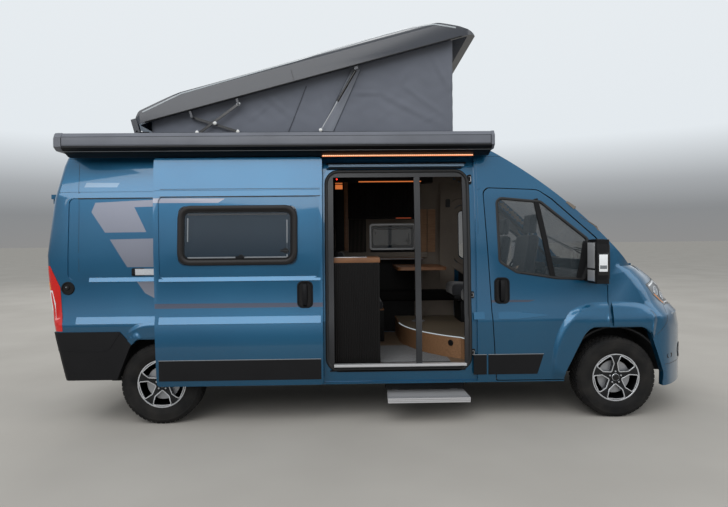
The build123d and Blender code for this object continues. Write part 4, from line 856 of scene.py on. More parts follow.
doorwayPlan = {
    "rear": -0.513, "front": 0.737, "low": 0.464, "high": 2.215, "radius": 0.1,
    "seal": [(-0.013, -0.036), (-0.015, -0.022), (-0.006, -0.012), (0.006, -0.012), (0.015, -0.022),
             (0.013, -0.036)],
}


def doorwayDress():
    plan = doorwayPlan
    corners = [(plan["rear"], plan["low"]), (plan["front"], plan["low"]), (plan["front"], plan["high"]),
               (plan["rear"], plan["high"])]
    line = spaced(rounded(corners, plan["radius"], 8), 0.12)
    dress = Shape(rightSide).ink("seal")
    dress.sweep(inset(line, -0.01), plan["seal"])
    # Silver sill and the rail above the door
    dress.ink("silver").box((plan["rear"] + 0.06, 0.489, -0.062), (plan["front"] - 0.03, 0.497, 0.004),
            0.002)
    dress.ink("silver").strip([(plan["rear"] + 0.05, 0.497), (plan["front"] - 0.03, 0.497)], 0.022, 0.006,
            0.003, 0.05)
    dress.ink("railBlue").sweep([(-0.5, 2.275), (0.72, 2.275)],
            [(-0.01, -0.03), (-0.01, 0.002), (-0.004, 0.006), (0.01, 0.004), (0.01, -0.03)], False)
    dress.ink("softBlack").strip([(-0.52, 2.296), (0.74, 2.296)], 0.012, -0.018, 0.001, 0.035)
    dress.ink("softBlack").strip([(-0.52, 2.252), (0.7, 2.252)], 0.01, -0.018, 0.001, 0.035)
    # Latches and striker plates on the front jamb
    for v, tall in ((2.145, 0.085), (1.11, 0.06), (0.6, 0.06)):
        dress.ink("softBlack").slab(rect(0.752, v - tall / 2, 0.786, v + tall / 2, 0.008),
                -0.032, -0.016, 0.003)
        dress.ink("steel").rod([(0.762, v - tall * 0.25, -0.01), (0.776, v - tall * 0.25, -0.004),
                (0.776, v + tall * 0.25, -0.004),
                (0.762, v + tall * 0.25, -0.01)], 0.003, 6)
    # Lower guide rail along the sill's foot
    dress.ink("softBlack").strip([(-0.5, 0.452), (0.7, 0.452)], 0.01, -0.02, 0.001, 0.012)
    dress.done("doorwayDress")


doorwayDress()

sliderPlan = {
    "window": (-1.801, -0.774, 1.403, 1.914), "railEnd": (-2.219, 1.344), "handle": (-0.707, 1.139),
    "inlet": (-2.783, 1.208, 0.056),
}


def windowDress(name, place, x0, x1, z0, z1, body="body"):
    # Frame, pane edge, inner blind rails and catches of a hinged acrylic window
    corners = [(x0, z0), (x1, z0), (x1, z1), (x0, z1)]
    line = spaced(rounded(corners, 0.105, 8), 0.1)
    dress = Shape(place).ink("windowFrame")
    dress.sweep(inset(line, 0.022),
                [(-0.024, -0.012), (-0.026, 0.003), (-0.021, 0.011), (-0.004, 0.015), (0.013, 0.012),
                 (0.021, 0.006), (0.022, -0.004)])
    dress.ink("softBlack").sweep(inset(line, 0.05), padding(0.014, 0.0078, 0.002, 0.006))
    dress.ink("trimEdge").sweep(inset(line, 0.0005), padding(0.003, 0.0085, 0.001, 0.01))
    rail0, rail1 = (x0 + 0.085, z0 + 0.062), (x1 - 0.085, z1 - 0.075)
    dress.ink("trimEdge").strip([(rail0[0], rail0[1]), (rail1[0], rail0[1])], 0.014, 0.0016, 0.0006, 0.001)
    dress.ink("frameGrey").strip([(rail1[0], rail1[1]), (rail0[0], rail1[1])], 0.012, 0.0014, 0.0006, 0.001)
    dress.ink("trimEdge").strip([(rail1[0], rail0[1]), (rail1[0], rail1[1] - 0.05)], 0.01, 0.0012, 0.0004,
            0.001)
    dress.ink("trimEdge").strip([(rail0[0], rail0[1] + 0.14), (rail0[0], rail1[1] - 0.03)], 0.01, 0.0012,
            0.0004, 0.001)
    catches = [((x0 + x1) / 2 + 0.03, z0 + 0.066), (x1 - 0.098, z0 + 0.12)]
    for u, v in catches:
        dress.ink("glossBlack").slab(circle(u, v, 0.022, 20), 0.0, 0.006, 0.002)
        dress.slab(rounded([(u - 0.045, v - 0.009), (u + 0.03, v - 0.013), (u + 0.03, v + 0.009),
                (u - 0.045, v + 0.006)], 0.006, 3), 0.003, 0.011, 0.003)
    dress.done(name, body)


windowDress("sliderWindowDress", onSide(-1, 0.093), *sliderPlan["window"])
for index, (x0, x1) in enumerate(((-0.093, 0.49), (-2.449, -1.749))):
    windowDress(f"farWindowDress{index}", onSide(1, 0.008), x0, x1, 1.481, 1.82)


def pullHandle(name, place, u, v, body, wide=0.136, tall=0.232):
    # Recessed cup with a vertical grip
    dress = Shape(place).ink("softBlack")
    outline = rect(u - wide / 2, v - tall / 2, u + wide / 2, v + tall / 2, 0.045, 6)
    dress.sweep(inset(outline, 0.007),
                [(-0.008, -0.004), (-0.008, 0.004), (-0.004, 0.008), (0.004, 0.008), (0.009, 0.003),
                 (0.011, -0.001)])
    dress.ink("glossBlack").slab(inset(outline, 0.01), -0.002, 0.0015, 0.0005)
    grip = [(0.0, -0.098, 0.004), (0.0, -0.086, 0.026), (0.0, -0.055, 0.036), (0.0, 0.02, 0.04),
            (0.0, 0.07, 0.036),
            (0.0, 0.092, 0.024), (0.0, 0.1, 0.004)]
    rings = []
    for across, along, out in grip:
        half = 0.017 + 0.004 * (1 - abs(along) / 0.1)
        rings.append([place(u + across + half * c, v + along, out + 0.008 * s - 0.002) for c,
                      s in compass(12)])
    dress.ink("softBlack").loft(rings)
    dress.ink("blackTrim").slab(circle(u, v - 0.085, 0.01, 16), 0.001, 0.005, 0.001)
    dress.done(name, body)


pullHandle("sliderHandle", sliderSide, *sliderPlan["handle"], "body")
pullHandle("cabHandleRight", rightSide, 1.031, 1.146, "cab_door_right")
pullHandle("cabHandleLeft", leftSide, 1.031, 1.146, "cab_door_left")


def quarterParts():
    # Rail end, the round inlet and the shut line of the corner panel
    u, v, radius = sliderPlan["inlet"]
    skin = onSkin(tailSkin, "y", -1)
    parts = Shape(skin).ink("softBlack")
    parts.sweep(circle(u, v, radius - 0.006, 32),
                [(-0.007, -0.006), (-0.008, 0.004), (-0.003, 0.01), (0.004, 0.01), (0.007, 0.004),
                 (0.008, -0.004)])
    parts.ink("glossBlack").slab(circle(u, v, radius - 0.008, 32), -0.004, 0.003, 0.001)
    parts.ink("blackTrim").slab(circle(u - 0.004, v + 0.002, 0.02, 20), 0.002, 0.014, 0.004)
    parts.ink("trimEdge").slab(circle(u - 0.01, v + 0.01, 0.006, 12), 0.012, 0.0155, 0.001)
    railX, railZ = sliderPlan["railEnd"]
    parts.on(rightSide).ink("softBlack").slab(rect(railX - 0.012, railZ - 0.034, railX + 0.1,
            railZ + 0.034, 0.012, 4), -0.012, 0.004, 0.003)
    parts.ink("machined").slab(rect(railX + 0.02, railZ - 0.028, -1.99, railZ + 0.028, 0.006), -0.006,
            0.01, 0.003)
    parts.ink("softBlack").slab(rect(railX - 0.006, railZ - 0.022, railX + 0.022, railZ + 0.022, 0.006),
            0.0, 0.016, 0.004)
    parts.ink("softBlack").on(rightSide).strip([(-1.99, railZ - 0.012), (-0.6, railZ - 0.012)], 0.03,
            0.003, 0.001, 0.02)
    parts.ink("seal").on(skin).strip([(-2.712, 2.3), (-2.7, 1.9), (-2.692, 1.35)], 0.0028, 0.0006, 0.0002,
            0.003, 0.1)
    parts.done("quarterParts")


quarterParts()
print("side trims done")


pressPlan = {  # pressed lines of the side: height, (across, out) profile and the stretches they run along
    "ledge": {"height": 0.925,
              "profile": [(-0.0325, 0.0002), (-0.03, 0.0022), (0.03, 0.0022), (0.0325, 0.0002)]},
    "crease": {"height": 1.279,
        "profile": [(-0.019, -0.001), (-0.017, 0.0075), (0.015, -0.0035), (0.019, -0.0045)]},
    # the upper line is a dark strip in seal colour: painted shade under the recess's overhanging top edge
    "upper": {"height": 1.997,
              "profile": [(-0.0035, -0.004), (-0.0035, 0.0012), (0.0035, 0.0012), (0.0035, -0.004)]},
    "fine": {"height": 2.064,
             "profile": [(-0.0018, -0.004), (-0.0018, 0.0008), (0.0018, 0.0008), (0.0018, -0.004)]},
    "slider": (-1.965, -0.572), "quarter": (-2.71, -2.00), "pillar": (0.775, 0.872),
             "doorSill": (0.995, 1.44),
}


def pressed(shape, key, ends, ink):
    line = pressPlan[key]
    shape.ink(ink).sweep(spaced([(ends[0], line["height"]), (ends[1], line["height"])], 0.2, False),
            line["profile"], False)


def pressedLines():
    slide, quarter = pressPlan["slider"], pressPlan["quarter"]
    slider = Shape(sliderSide)
    # the upper line's dark strip is painted shade under the recess's top edge
    for key, ink in (("ledge", "paint"), ("crease", "paint"), ("upper", "seal"), ("fine", "seal")):
        pressed(slider, key, slide, ink)
    slider.done("pressedSlider", "body", "body_paint", 12)
    for word, place, stretches in (("Right", rightSide, (quarter, pressPlan["pillar"])),
            ("Left", leftSide, ((-2.62, 0.955),))):
        side = Shape(place)
        for ends in stretches:
            # the upper line's dark strip is painted shade under the recess's top edge
            for key, ink in (("ledge", "paint"), ("crease", "paint"), ("upper", "seal")):
                if key == "ledge" or ends[0] < 0:
                    pressed(side, key, (max(ends[0], -2.6) if key == "crease" else ends[0], ends[1]), ink)
        side.done("pressed" + word, "body", "body_paint", 12)
        door = Shape(place)
        start, end = pressPlan["doorSill"]
        rings = []
        for index in range(9):
            share = index / 8
            fade = 1 - max(0, share - 0.4) / 0.6
            rings.append([place(start + (end - start) * share,
                    pressPlan["ledge"]["height"] + across * (0.15 + 0.85 * fade), out)
                          for across, out in pressPlan["ledge"]["profile"]])
        door.ink("paint").loft(rings, False, False)
        door.done("pressedDoor" + word, "cab_door_" + word.lower(), "body_paint", 12)


pressedLines()


# Flares over the wheels, the cab windows, mirrors, lamps and the front

flarePlan = {  # outer line and arch edge of each flare, in x and z, with the cross-section between them
    "front": {
        "outer": ((1.452, 0.36), (1.462, 0.55), (1.5, 0.74), (1.58, 0.9), (1.69, 0.995), (1.83, 1.035),
        (1.9745, 1.042),
        (2.12, 1.042), (2.27, 1.024), (2.37, 0.975), (2.425, 0.9)),
        "edge": ((1.577, 0.36), (1.59, 0.43), (1.64, 0.53), (1.7, 0.65), (1.762, 0.76), (1.84, 0.814),
        (1.9745, 0.817),
        (2.12, 0.817), (2.262, 0.814), (2.345, 0.765), (2.372, 0.7)),
        "rise": 1.0, "part": 6,
    },
    "rear": {
        "outer": ((-2.285, 0.8), (-2.225, 0.868), (-2.12, 0.912), (-1.984, 0.92), (-1.85, 0.91),
        (-1.72, 0.855),
        (-1.62, 0.74), (-1.555, 0.6), (-1.53, 0.45)),
        "edge": ((-2.214, 0.718), (-2.165, 0.757), (-2.08, 0.763), (-1.984, 0.763), (-1.89, 0.763),
        (-1.8, 0.76),
        (-1.72, 0.7), (-1.66, 0.55), (-1.615, 0.43)),
        "rise": 0.5,
    },
    "past": 0.038,  # how far beyond the door's shut line the wing's flare starts
    "cross": ((0.0, -0.002), (0.05, 0.001), (0.11, 0.006), (0.18, 0.015), (0.25, 0.0205), (0.32, 0.023),
              (0.5, 0.0235), (0.7, 0.0235)),
}


def flare(name, key, side, body, first, last, shift=0.0):
    plan = flarePlan[key]
    skin = onSkin(doorSkin, "y", -1)
    outer, edge = [[Vector(p) for p in plan[line]] for line in ("outer", "edge")]
    for line in (outer, edge):  # the wing's flare starts past the shut line
        line[first].x += shift
    fine = []
    for line in (outer, edge):  # the lines are drawn as smooth curves through their points
        smooth = []
        for index in range(first, last):
            p0, p1, p2, p3 = line[max(0, index - 1)], line[index], line[index + 1], line[min(len(line) - 1,
                    index + 2)]
            for step in range(6):
                t = step / 6
                smooth.append(0.5 * (2 * p1 + (p2 - p0) * t + (2 * p0 - 5 * p1 + 4 * p2 - p3) * t * t
                        + (3 * p1 - p0 - 3 * p2 + p3) * t ** 3))
        fine.append(smooth + [line[last]])
    cover = Shape().ink("paint")
    rings = []
    for index, (a, b) in enumerate(zip(*fine)):
        fade = min(1, index / 4 if key == "rear" or first == 0 else 1, (len(fine[0]) - 1 - index) / 5
                   if last == len(outer) - 1 else 1)
        fade = max(0.12, fade) * plan["rise"]
        ring = [skin(*a.lerp(b, share), max(out * fade, -0.002)) for share, out in flarePlan["cross"]]
        level = ring[-1].y
        for share, back in ((0.88, 0.0), (0.97, 0.0), (1.0, 0.004), (1.0, 0.035)):
            spot = a.lerp(b, share)
            ring.append(Vector((spot.x, level + back - 0.001, spot.y)))
        rings.append([Vector((p.x, p.y * -side, p.z)) for p in ring])
    cover.sheetOf(rings)
    made = cover.done(name, body, "body_paint", 50)
    skinned = made.modifiers.new("rounding", "SUBSURF")
    skinned.levels = skinned.render_levels = 1


for side, word in ((-1, "Right"), (1, "Left")):
    split = flarePlan["front"]["part"]
    front, rear = (len(flarePlan[key]["outer"]) - 1 for key in ("front", "rear"))
    flare("flareDoor" + word, "front", side, "cab_door_" + word.lower(), 0, split)
    flare("flareWing" + word, "front", side, "body", split, front, flarePlan["past"])
    flare("flareRear" + word, "rear", side, "body", 0, rear)

cabPlan = {
    "window": ((1.011, 1.4), (1.165, 1.305), (1.523, 1.25), (1.799, 1.24), (1.808, 1.6), (1.396, 1.938),
        (0.996, 1.976)),
    "radii": (0.06, 0.06, 0.1, 0.025, 0.025, 0.05, 0.05),
           "bar": [(1.352, 1.962), (1.42, 1.62), (1.492, 1.25)],
    "sill": [(1.2, 1.298), (1.523, 1.245), (1.8, 1.234)],
    "corner": [(1.7, 1.245), (1.803, 1.243), (1.808, 1.56), (1.77, 1.585), (1.735, 1.4)],
    "mirror": {"x": (1.766, 1.906), "y": (1.065, 1.254), "z": (1.215, 1.59)},
    "rings": (  # share of the mirror head's height, its size there and how far it sits forward
        (0, 0.55, -0.012), (0.04, 0.86, -0.006), (0.12, 1.0, 0), (0.5, 1.02, 0.002), (0.86, 1.0, 0),
              (0.96, 0.88, -0.004),
        (1, 0.6, -0.01)),
    "glasses": ((1.345, 1.565), (1.235, 1.33)),
           "foot": [(1.77, 1.0), (1.905, 1.0), (1.895, 1.12), (1.8, 1.12)],
    "arm": (((1.72, 0.992, 1.225), (1.985, 0.985, 1.238), (1.935, 0.985, 1.36), (1.8, 0.99, 1.4)),
            ((1.76, 1.022, 1.238), (1.935, 1.015, 1.246), (1.9, 1.015, 1.33), (1.81, 1.02, 1.355))),
}


def cabDoorDress(word, side):
    body = "cab_door_" + word.lower()
    place = onSide(side)
    line = spaced(rounded(cabPlan["window"], cabPlan["radii"], 6), 0.1)
    dress = Shape(place).ink("seal")
    dress.sweep(inset(line, 0.004),
                [(-0.013, -0.012), (-0.012, 0.003), (-0.004, 0.0055), (0.006, 0.003), (0.012, -0.004),
                 (0.012, -0.014)])
    dress.ink("softBlack").sweep(cabPlan["bar"],
            [(-0.024, -0.012), (-0.024, -0.003), (-0.018, 0.001), (0.018, 0.001),
            (0.024, -0.003), (0.024, -0.012)], False)
    dress.ink("glossBlack").strip(cabPlan["sill"], 0.01, 0.007, 0.002, 0.01)
    # Black corner behind the mirror's foot
    dress.ink("softBlack").slab(rounded(cabPlan["corner"], 0.012, 3), -0.012, 0.006, 0.003)
    dress.done("cabWindowDress" + word, body)

    low, high = [Vector((cabPlan["mirror"][axis][index] for axis in "xyz")) for index in (0, 1)]
    head = Shape(lambda u, v, w: Vector((u, side * v, w)))
    rings = []
    for share, shrink, shift in cabPlan["rings"]:
        z = low.z - 0.004 + (high.z - low.z + 0.008) * share
        mid = ((low.x + high.x) / 2, (low.y + high.y) / 2)
        outline = rounded([(low.x - 0.002, low.y + 0.004), (high.x + 0.008, low.y + 0.012),
                (high.x - 0.002, high.y - 0.05), (high.x - 0.042, high.y + 0.003),
                (low.x - 0.002, high.y + 0.003)], (0.02, 0.03, 0.05, 0.04, 0.02), 4)
        rings.append([head.place(mid[0] + (p.x - mid[0]) * shrink + shift,
                mid[1] + (p.y - mid[1]) * shrink, z) for p in outline])
    head.ink("softBlack").loft(rings)
    # Mirror glasses face the rear, the clear lens faces outwards
    for z0, z1 in cabPlan["glasses"]:
        head.boxes(("glossBlack", (low.x - 0.008, low.y + 0.022, z0 - 0.006),
                    (low.x + 0.004, high.y - 0.014, z1 + 0.006), 0.004),
                   ("silver", (low.x - 0.0095, low.y + 0.028, z0), (low.x - 0.004, high.y - 0.02, z1),
                    0.003))
    head.boxes(
        ("glossBlack", (low.x + 0.012, high.y - 0.006, 1.286), (high.x - 0.038, high.y + 0.0045, 1.478),
         0.01),
        ("whiteLens", (low.x + 0.02, high.y - 0.004, 1.318), (high.x - 0.046, high.y + 0.0065, 1.464),
         0.008),
        ("trimEdge", (low.x + 0.026, high.y + 0.001, 1.34), (high.x - 0.052, high.y + 0.0072, 1.372),
         0.003))
    head.ink("softBlack").slab(cabPlan["foot"], 1.222, 1.3, 0.012)
    head.ink("softBlack").loft([[head.place(*point) for point in ring] for ring in cabPlan["arm"]])
    head.done("mirrorDress" + word, body, "black_plastic", 40)


for word, side in (("Right", -1), ("Left", 1)):
    cabDoorDress(word, side)


frontPlan = {  # lines: finish, points in x and z on the flank, width, thickness, chamfer, sink and spacing
    "lampLines": (
        ("whiteLens", [(2.392, 1.166), (2.545, 1.196), (2.66, 1.135), (2.78, 1.062)], 0.014, 0.0024, 0.001,
         0.004, 0.04),
        ("whiteLens", [(2.6, 1.004), (2.76, 0.996), (2.89, 0.984)], 0.01, 0.0024, 0.001, 0.004, 0.03),
        ("amberLens", [(2.452, 1.088), (2.52, 1.04), (2.575, 1.004)], 0.01, 0.002, 0.001, 0.004, 0.03),
    ),
    "lamps": ((2.5, 1.115, 0.038), (2.615, 1.062, 0.034)),
    "shutLines": (  # round the lamp, along the bumper and above its lip
        ("seal", [(2.351, 1.182), (2.551, 1.217), (2.851, 1.042)], 0.0035, 0.001, 0.0003, 0.003, 0.03),
        ("seal", [(2.846, 1.02), (2.571, 0.984), (2.431, 1.078), (2.351, 1.178)], 0.0035, 0.001, 0.0003,
         0.003, 0.03),
        ("seal", [(2.362, 0.748), (2.411, 0.741), (2.531, 0.85), (2.546, 0.984)], 0.0035, 0.0008, 0.0003,
         0.003, 0.03),
        ("seal", [(2.482, 0.47), (2.6, 0.468), (2.72, 0.466), (2.82, 0.465)], 0.004, 0.0008, 0.0003, 0.003,
         0.03),
    ),
    "sideCover": (2.52, 0.52, 2.6, 0.56),
    "noseLines": (
        ("seal", [(-0.6, 0.465), (0.6, 0.465)], 0.004, 0.0008, 0.0003, 0.003, 0.08),
        ("glossBlack", [(-0.43, 0.931), (0.43, 0.931)], 0.012, 0.004, 0.002, 0.02, 0.06),
    ),
    "plate": (0.257, 0.708, 0.822), "plateEdge": 0.008, "badge": (0, 1.012), "fogLamp": (0.7, 0.545),
    "wipers": (((-0.42, 1.415), (0.34, 1.5)), ((0.3, 1.415), (0.74, 1.66))),
}


def frontDress():
    # Lamp insides, seams, grille bar, plate, a bare badge and fog lamps
    plan = frontPlan
    skin, ahead = onSkin(frontSkin, "y", -1), onSkin(frontSkin, "x", 1)
    for side, word in ((-1, "Right"), (1, "Left")):
        dress = Shape(mirrored(skin, side))
        dress.lines(plan["lampLines"])
        for u, v, radius in plan["lamps"]:
            dress.ink("machined").sweep(circle(u, v, radius, 24), padding(0.006, 0.0026, 0.001, 0.004))
            dress.ink("clearLens").slab(circle(u, v, radius - 0.004, 24), 0.0, 0.0018, 0.0008)
        dress.lines(plan["shutLines"])
        dress.ink("blackTrim").slab(rect(*plan["sideCover"], 0.015), -0.002, 0.0012, 0.0004)
        dress.done("lampDress" + word, "body", "clear_lens")
    front = Shape(ahead)
    front.lines(plan["noseLines"])
    half, low, high = plan["plate"]
    edge = plan["plateEdge"]
    nose = max(ahead(u / 20, v, 0).x for u in range(-5, 6) for v in (0.7, 0.765, 0.83))
    front.on(Shape().place).boxes(
        ("softBlack", (nose - 0.04, -half - edge, low - edge), (nose + 0.003, half + edge, high + edge),
         0.003),
        ("plate", (nose - 0.01, -half, low), (nose + 0.0055, half, high), 0.002))
    front.on(ahead).ink("glossBlack").slab(circle(*plan["badge"], 0.04, 28), 0.0, 0.008, 0.003)
    front.ink("machined").sweep(circle(*plan["badge"], 0.041, 28), padding(0.006, 0.009, 0.002, 0.004))
    u, v = plan["fogLamp"]
    for side in (-1, 1):
        front.ink("softBlack").sweep(circle(side * u, v, 0.06, 28), padding(0.022, 0.004, 0.0015, 0.004))
        front.ink("clearLens").slab(circle(side * u, v, 0.048, 28), -0.002, 0.003, 0.001)
    front.done("frontDress")
    wipers = Shape(onSkin(treeOf("windscreen", "floor_pan"), "x", 1)).ink("softBlack")
    for foot, tip in plan["wipers"]:
        line = [Vector(foot).lerp(Vector(tip), step / 8) for step in range(9)]
        wipers.rod([(p.x, p.y, 0.022 - 0.008 * index / 8) for index, p in enumerate(line)], 0.006)
        wipers.rod([(p.x, p.y - 0.018, 0.008) for p in line[2:]], 0.004)
    wipers.done("wipers")
    lines = Shape(onSkin(treeOf("bonnet"), "z", 1)).ink("seal")
    for side in (-1, 1):
        lines.rod([(2.16 + 0.08 * k, side * (0.52 - 0.03 * k), 0.0004) for k in range(6)], 0.0022, 6)
    lines.done("bonnetLines", "bonnet", "body_paint")


frontDress()


tailPlan = {  # the doors in y and z, the lamps in x and z, lines as in frontPlan
    "pane": (0.13, 1.38, 0.69, 1.96), "hinges": (0.955, 2.005), "handle": (0.03, 1.02, 0.11, 1.24),
    "grip": [(0.07, 1.05, 0.004), (0.07, 1.065, 0.026), (0.07, 1.13, 0.034), (0.07, 1.195, 0.026),
             (0.07, 1.21, 0.004)],
    "plateHolder": (0.13, 0.985, 0.67, 1.125), "plate": (0.14, 0.998, 0.66, 1.112),
    "plateLamp": [(0.25, 1.15), (0.55, 1.15), (0.53, 1.19), (0.27, 1.19)],
    "doorLines": (("seal", [(0.02, 1.262), (0.77, 1.262)], 0.003, 0.0006, 0.0002, 0.003, 0.1),),
    "reverseLens": [(-2.966, 0.95), (-2.884, 0.95), (-2.89, 1.075), (-2.918, 1.19), (-2.97, 1.19)],
    "turnLens": [(-2.958, 1.196), (-2.934, 1.196), (-2.948, 1.265), (-2.964, 1.265)],
    "lampLines": (("seal", [(-2.822, 0.838), (-2.848, 1.215), (-2.937, 1.402)], 0.004, 0.0008, 0.0003,
        0.004, 0.06),),
    "cornerPress": [(-2.93, 0.665), (-2.5, 0.655), (-2.42, 0.672), (-2.325, 0.818)],
    "cornerLines": (("seal", [(-2.885, 0.818), (-2.88, 0.68), (-2.835, 0.42)], 0.0035, 0.0008, 0.0003,
        0.003, 0.05),),
    "bumperLines": (("trimEdge", [(-0.6, 0.52), (0.6, 0.52)], 0.006, 0.002, 0.0008, 0.003, 0.1),),
    "reflectors": ((-0.61, 0.455, -0.49, 0.485), (0.49, 0.455, 0.61, 0.485)),
            "topLamp": (-0.16, 2.315, 0.16, 2.34),
}


def tailDress():
    plan = tailPlan
    behind, beside = onSkin(tailSkin, "x", -1), onSkin(tailSkin, "y", -1)
    for side, word in ((-1, "right"), (1, "left")):
        door = Shape(lambda u, v, w, side=side: behind(u * side, v, w)).ink("seal")
        pane = spaced(rect(*plan["pane"], 0.07, 6), 0.1)
        door.sweep(inset(pane, 0.002),
                   [(-0.014, -0.006), (-0.012, 0.004), (0.0, 0.006), (0.012, 0.002), (0.013, -0.006)])
        for v in plan["hinges"]:
            strap = [(0.63, v - 0.03), (0.772, v - 0.022), (0.772, v + 0.022), (0.63, v + 0.03)]
            door.ink("blackTrim").slab(rounded(strap, 0.012, 3), -0.004, 0.006, 0.003)
        if word == "right":
            cup = [edge + margin for edge, margin in zip(plan["handle"], (0.006, 0.006, -0.006, -0.006))]
            door.ink("softBlack").sweep(rect(*plan["handle"], 0.03, 5), padding(0.012, 0.007, 0.003, 0.004))
            door.ink("glossBlack").slab(rect(*cup, 0.026, 5), -0.002, 0.002, 0.0005)
            door.ink("softBlack").rod(plan["grip"], 0.013, 10)
        else:
            door.ink("softBlack").slab(rect(*plan["plateHolder"], 0.008), -0.004, 0.01, 0.003)
            door.ink("plate").slab(rect(*plan["plate"], 0.006), 0.006, 0.0125, 0.001)
            door.ink("softBlack").slab(rounded(plan["plateLamp"], 0.01, 3), -0.004, 0.024, 0.006)
        door.lines(plan["doorLines"])
        door.done("tailDoorDress_" + word, "rear_door_" + word)
        lamp = Shape(mirrored(beside, side)).ink("whiteLens")
        lamp.slab(spaced(plan["reverseLens"], 0.05), -0.001, 0.0022, 0.0008)
        lamp.ink("amberLens").slab(spaced(plan["turnLens"], 0.06), -0.001, 0.0022, 0.0008)
        lamp.lines(plan["lampLines"])
        # Panel lines pressed into the black corner of the bumper
        lamp.ink("blackTrim").sweep(spaced(plan["cornerPress"], 0.05, False),
                [(-0.004, -0.002), (-0.003, 0.0022), (0.002, 0.0026), (0.005, -0.002)], False)
        lamp.lines(plan["cornerLines"])
        lamp.done("tailLampDress_" + word, "body", "red_lens")
    middle = Shape(behind)
    middle.lines(plan["bumperLines"])
    for outline in plan["reflectors"]:
        middle.ink("redLens").slab(rect(*outline, 0.006), -0.002, 0.004, 0.001)
    middle.ink("redLens").slab(rect(*plan["topLamp"], 0.006), -0.004, 0.01, 0.003)
    middle.done("tailMiddleDress")


tailDress()
print("front and tail done")


# Awning, sleeping roof and tent

awningPlan = {
    "x": (-2.787, 0.941), "y": 1.12, "z": (2.392, 2.54), "cap": (-2.826, 0.944),
              "lamp": (-0.56, 0.79, 2.35),
}


def awningDress():
    plan = awningPlan
    rear, front = plan["x"]
    low, high = plan["z"]
    out = plan["y"]
    place = Shape(lambda u, v, w: Vector((u, -w, v)))
    # Dark lower rail, pale drip edge and the fine lines of the lead rail
    place.ink("awningDark").loft([[place.place(x, v, w) for w, v in (
        (out + 0.002, 2.428), (out + 0.003, 2.412), (out - 0.036, 2.388), (1.000, 2.352), (0.948, 2.35),
            (0.948, 2.4), (1.06, 2.43))]
        for x in (rear + 0.03, -1.6, -0.4, front - 0.02)])
    place.ink("trimEdge").sweep([(rear + 0.02, 2.3845), (front - 0.02, 2.3845)],
            padding(0.003, out - 0.034, 0.001, -(out - 0.045)), False)
    for v in (2.434, 2.503):
        place.ink("awningDark").sweep([(rear, v), (front, v)],
                padding(0.0026, out + 0.0008, 0.0003, -(out - 0.003)), False)
    for a, b in ((plan["cap"][0], rear + 0.032), (front - 0.03, plan["cap"][1])):
        rings = []
        for x, grow in ((a, -0.01), (a + (0.01 if a < 0 else 0.004), 0.002), ((a + b) / 2, 0.0035),
                (b - 0.003, 0.0035), (b, 0.001)):
            rings.append([place.place(x, v, w) for w, v in (
                (out + grow, low + 0.03), (out + grow, high - 0.04 + grow), (out - 0.03, high + grow),
                    (0.905, high + grow),
                (0.905, low - grow), (out - 0.04, low - grow))])
        place.ink("awningGrey").loft(rings)
        place.ink("awningDark").sweep([(b - 0.001 if a < 0 else a + 0.001, 2.425),
                (b - 0.001 if a < 0 else a + 0.001, 2.5)], padding(0.003, out + 0.0042, 0.0004, -out),
                False)
    place.done("awningDress", "body", "awning_case")
    # Light strip under the case: a dark holder, a glowing band and a row of brighter dots
    x0, x1, z = plan["lamp"]
    strip = Shape(lambda u, v, w: Vector((u, -w, v)))
    strip.boxes(("awningDark", (x0, z - 0.012, 0.965), (x1, z + 0.012, 1.000), 0.003),
                ("amberGlow", (x0 + 0.01, z - 0.009, 0.998), (x1 - 0.01, z + 0.007, 1.003), 0.002))
    strip.done("lightStrip", "body", "clear_lens")
    unit = Shape().ink("warmGlow")
    unit.turn([(0.0042, 0.0), (0.0042, 0.0014), (0.0026, 0.0028), (0, 0.003)], (0, 0, 0), (0, -1, 0), 8)
    dot = unit.done("dotUnit", None, None, 0)
    count = 76
    spots = [((x0 + 0.02 + (x1 - x0 - 0.04) * index / (count - 1), -1.002, z), (0, 0, 0))
             for index in range(count)]
    enter("lightDots", repeated("lightDots", dot, spots, "warmGlow"), "body")


awningDress()

roofPlan = {
    "angle": math.radians(14.85), "hinge": (-2.215, 2.6), "lip": 2.655,
    "shoulder": [(-2.12, 2.752), (-1.744, 2.826), (-0.678, 2.845), (0.153, 2.892), (0.42, 2.884),
        (0.62, 2.836), (0.8, 2.748)], "tail": -2.24, "nose": 0.973, "tentHalf": 0.78,
            "tent": (-2.119, 0.65), "low": 2.6005, "line": 0.115,
}


def raised(x, z):  # side-view point on the closed roof, turned up with it
    plan = roofPlan
    along, up = x - plan["hinge"][0], z - plan["hinge"][1]
    return (plan["hinge"][0] + along * math.cos(plan["angle"]) - up * math.sin(plan["angle"]),
            plan["hinge"][1] + along * math.sin(plan["angle"]) + up * math.cos(plan["angle"]))


def shellDress():
    plan = roofPlan
    tree = treeOf("roof_shell")
    side = onSkin(tree, "y", -1)
    for word, sign in (("Right", -1), ("Left", 1)):
        rim = Shape(mirrored(lambda u, v, w: side(*raised(u, v), w), sign)).ink("seal")
        rim.sweep(spaced([(plan["tail"] + 0.12, plan["lip"] + 0.004),
                (plan["nose"] - 0.14, plan["lip"] + 0.004)], 0.12, False),
                  [(-0.008, -0.006), (-0.009, 0.002), (-0.002, 0.006), (0.005, 0.002), (0.006, -0.004)],
                  False)
        rim.strip([(-0.735, plan["lip"] + 0.012), (-0.735, plan["lip"] + 0.1),
                   (-0.735, plan["lip"] + 0.172)], 0.004, 0.0008, 0.0003, 0.003)
        # The pale strip along the shell's shoulder is a painted highlight: the sky's reflection on its top
        # edge, painted in as a pale colour
        rim.ink("shellRim").sweep(spaced(plan["shoulder"], 0.06, False),
                padding(0.014, 0.0022, 0.0008, 0.003), False)
        rim.done("shellRim" + word, "roof", "roof_paint")


shellDress()


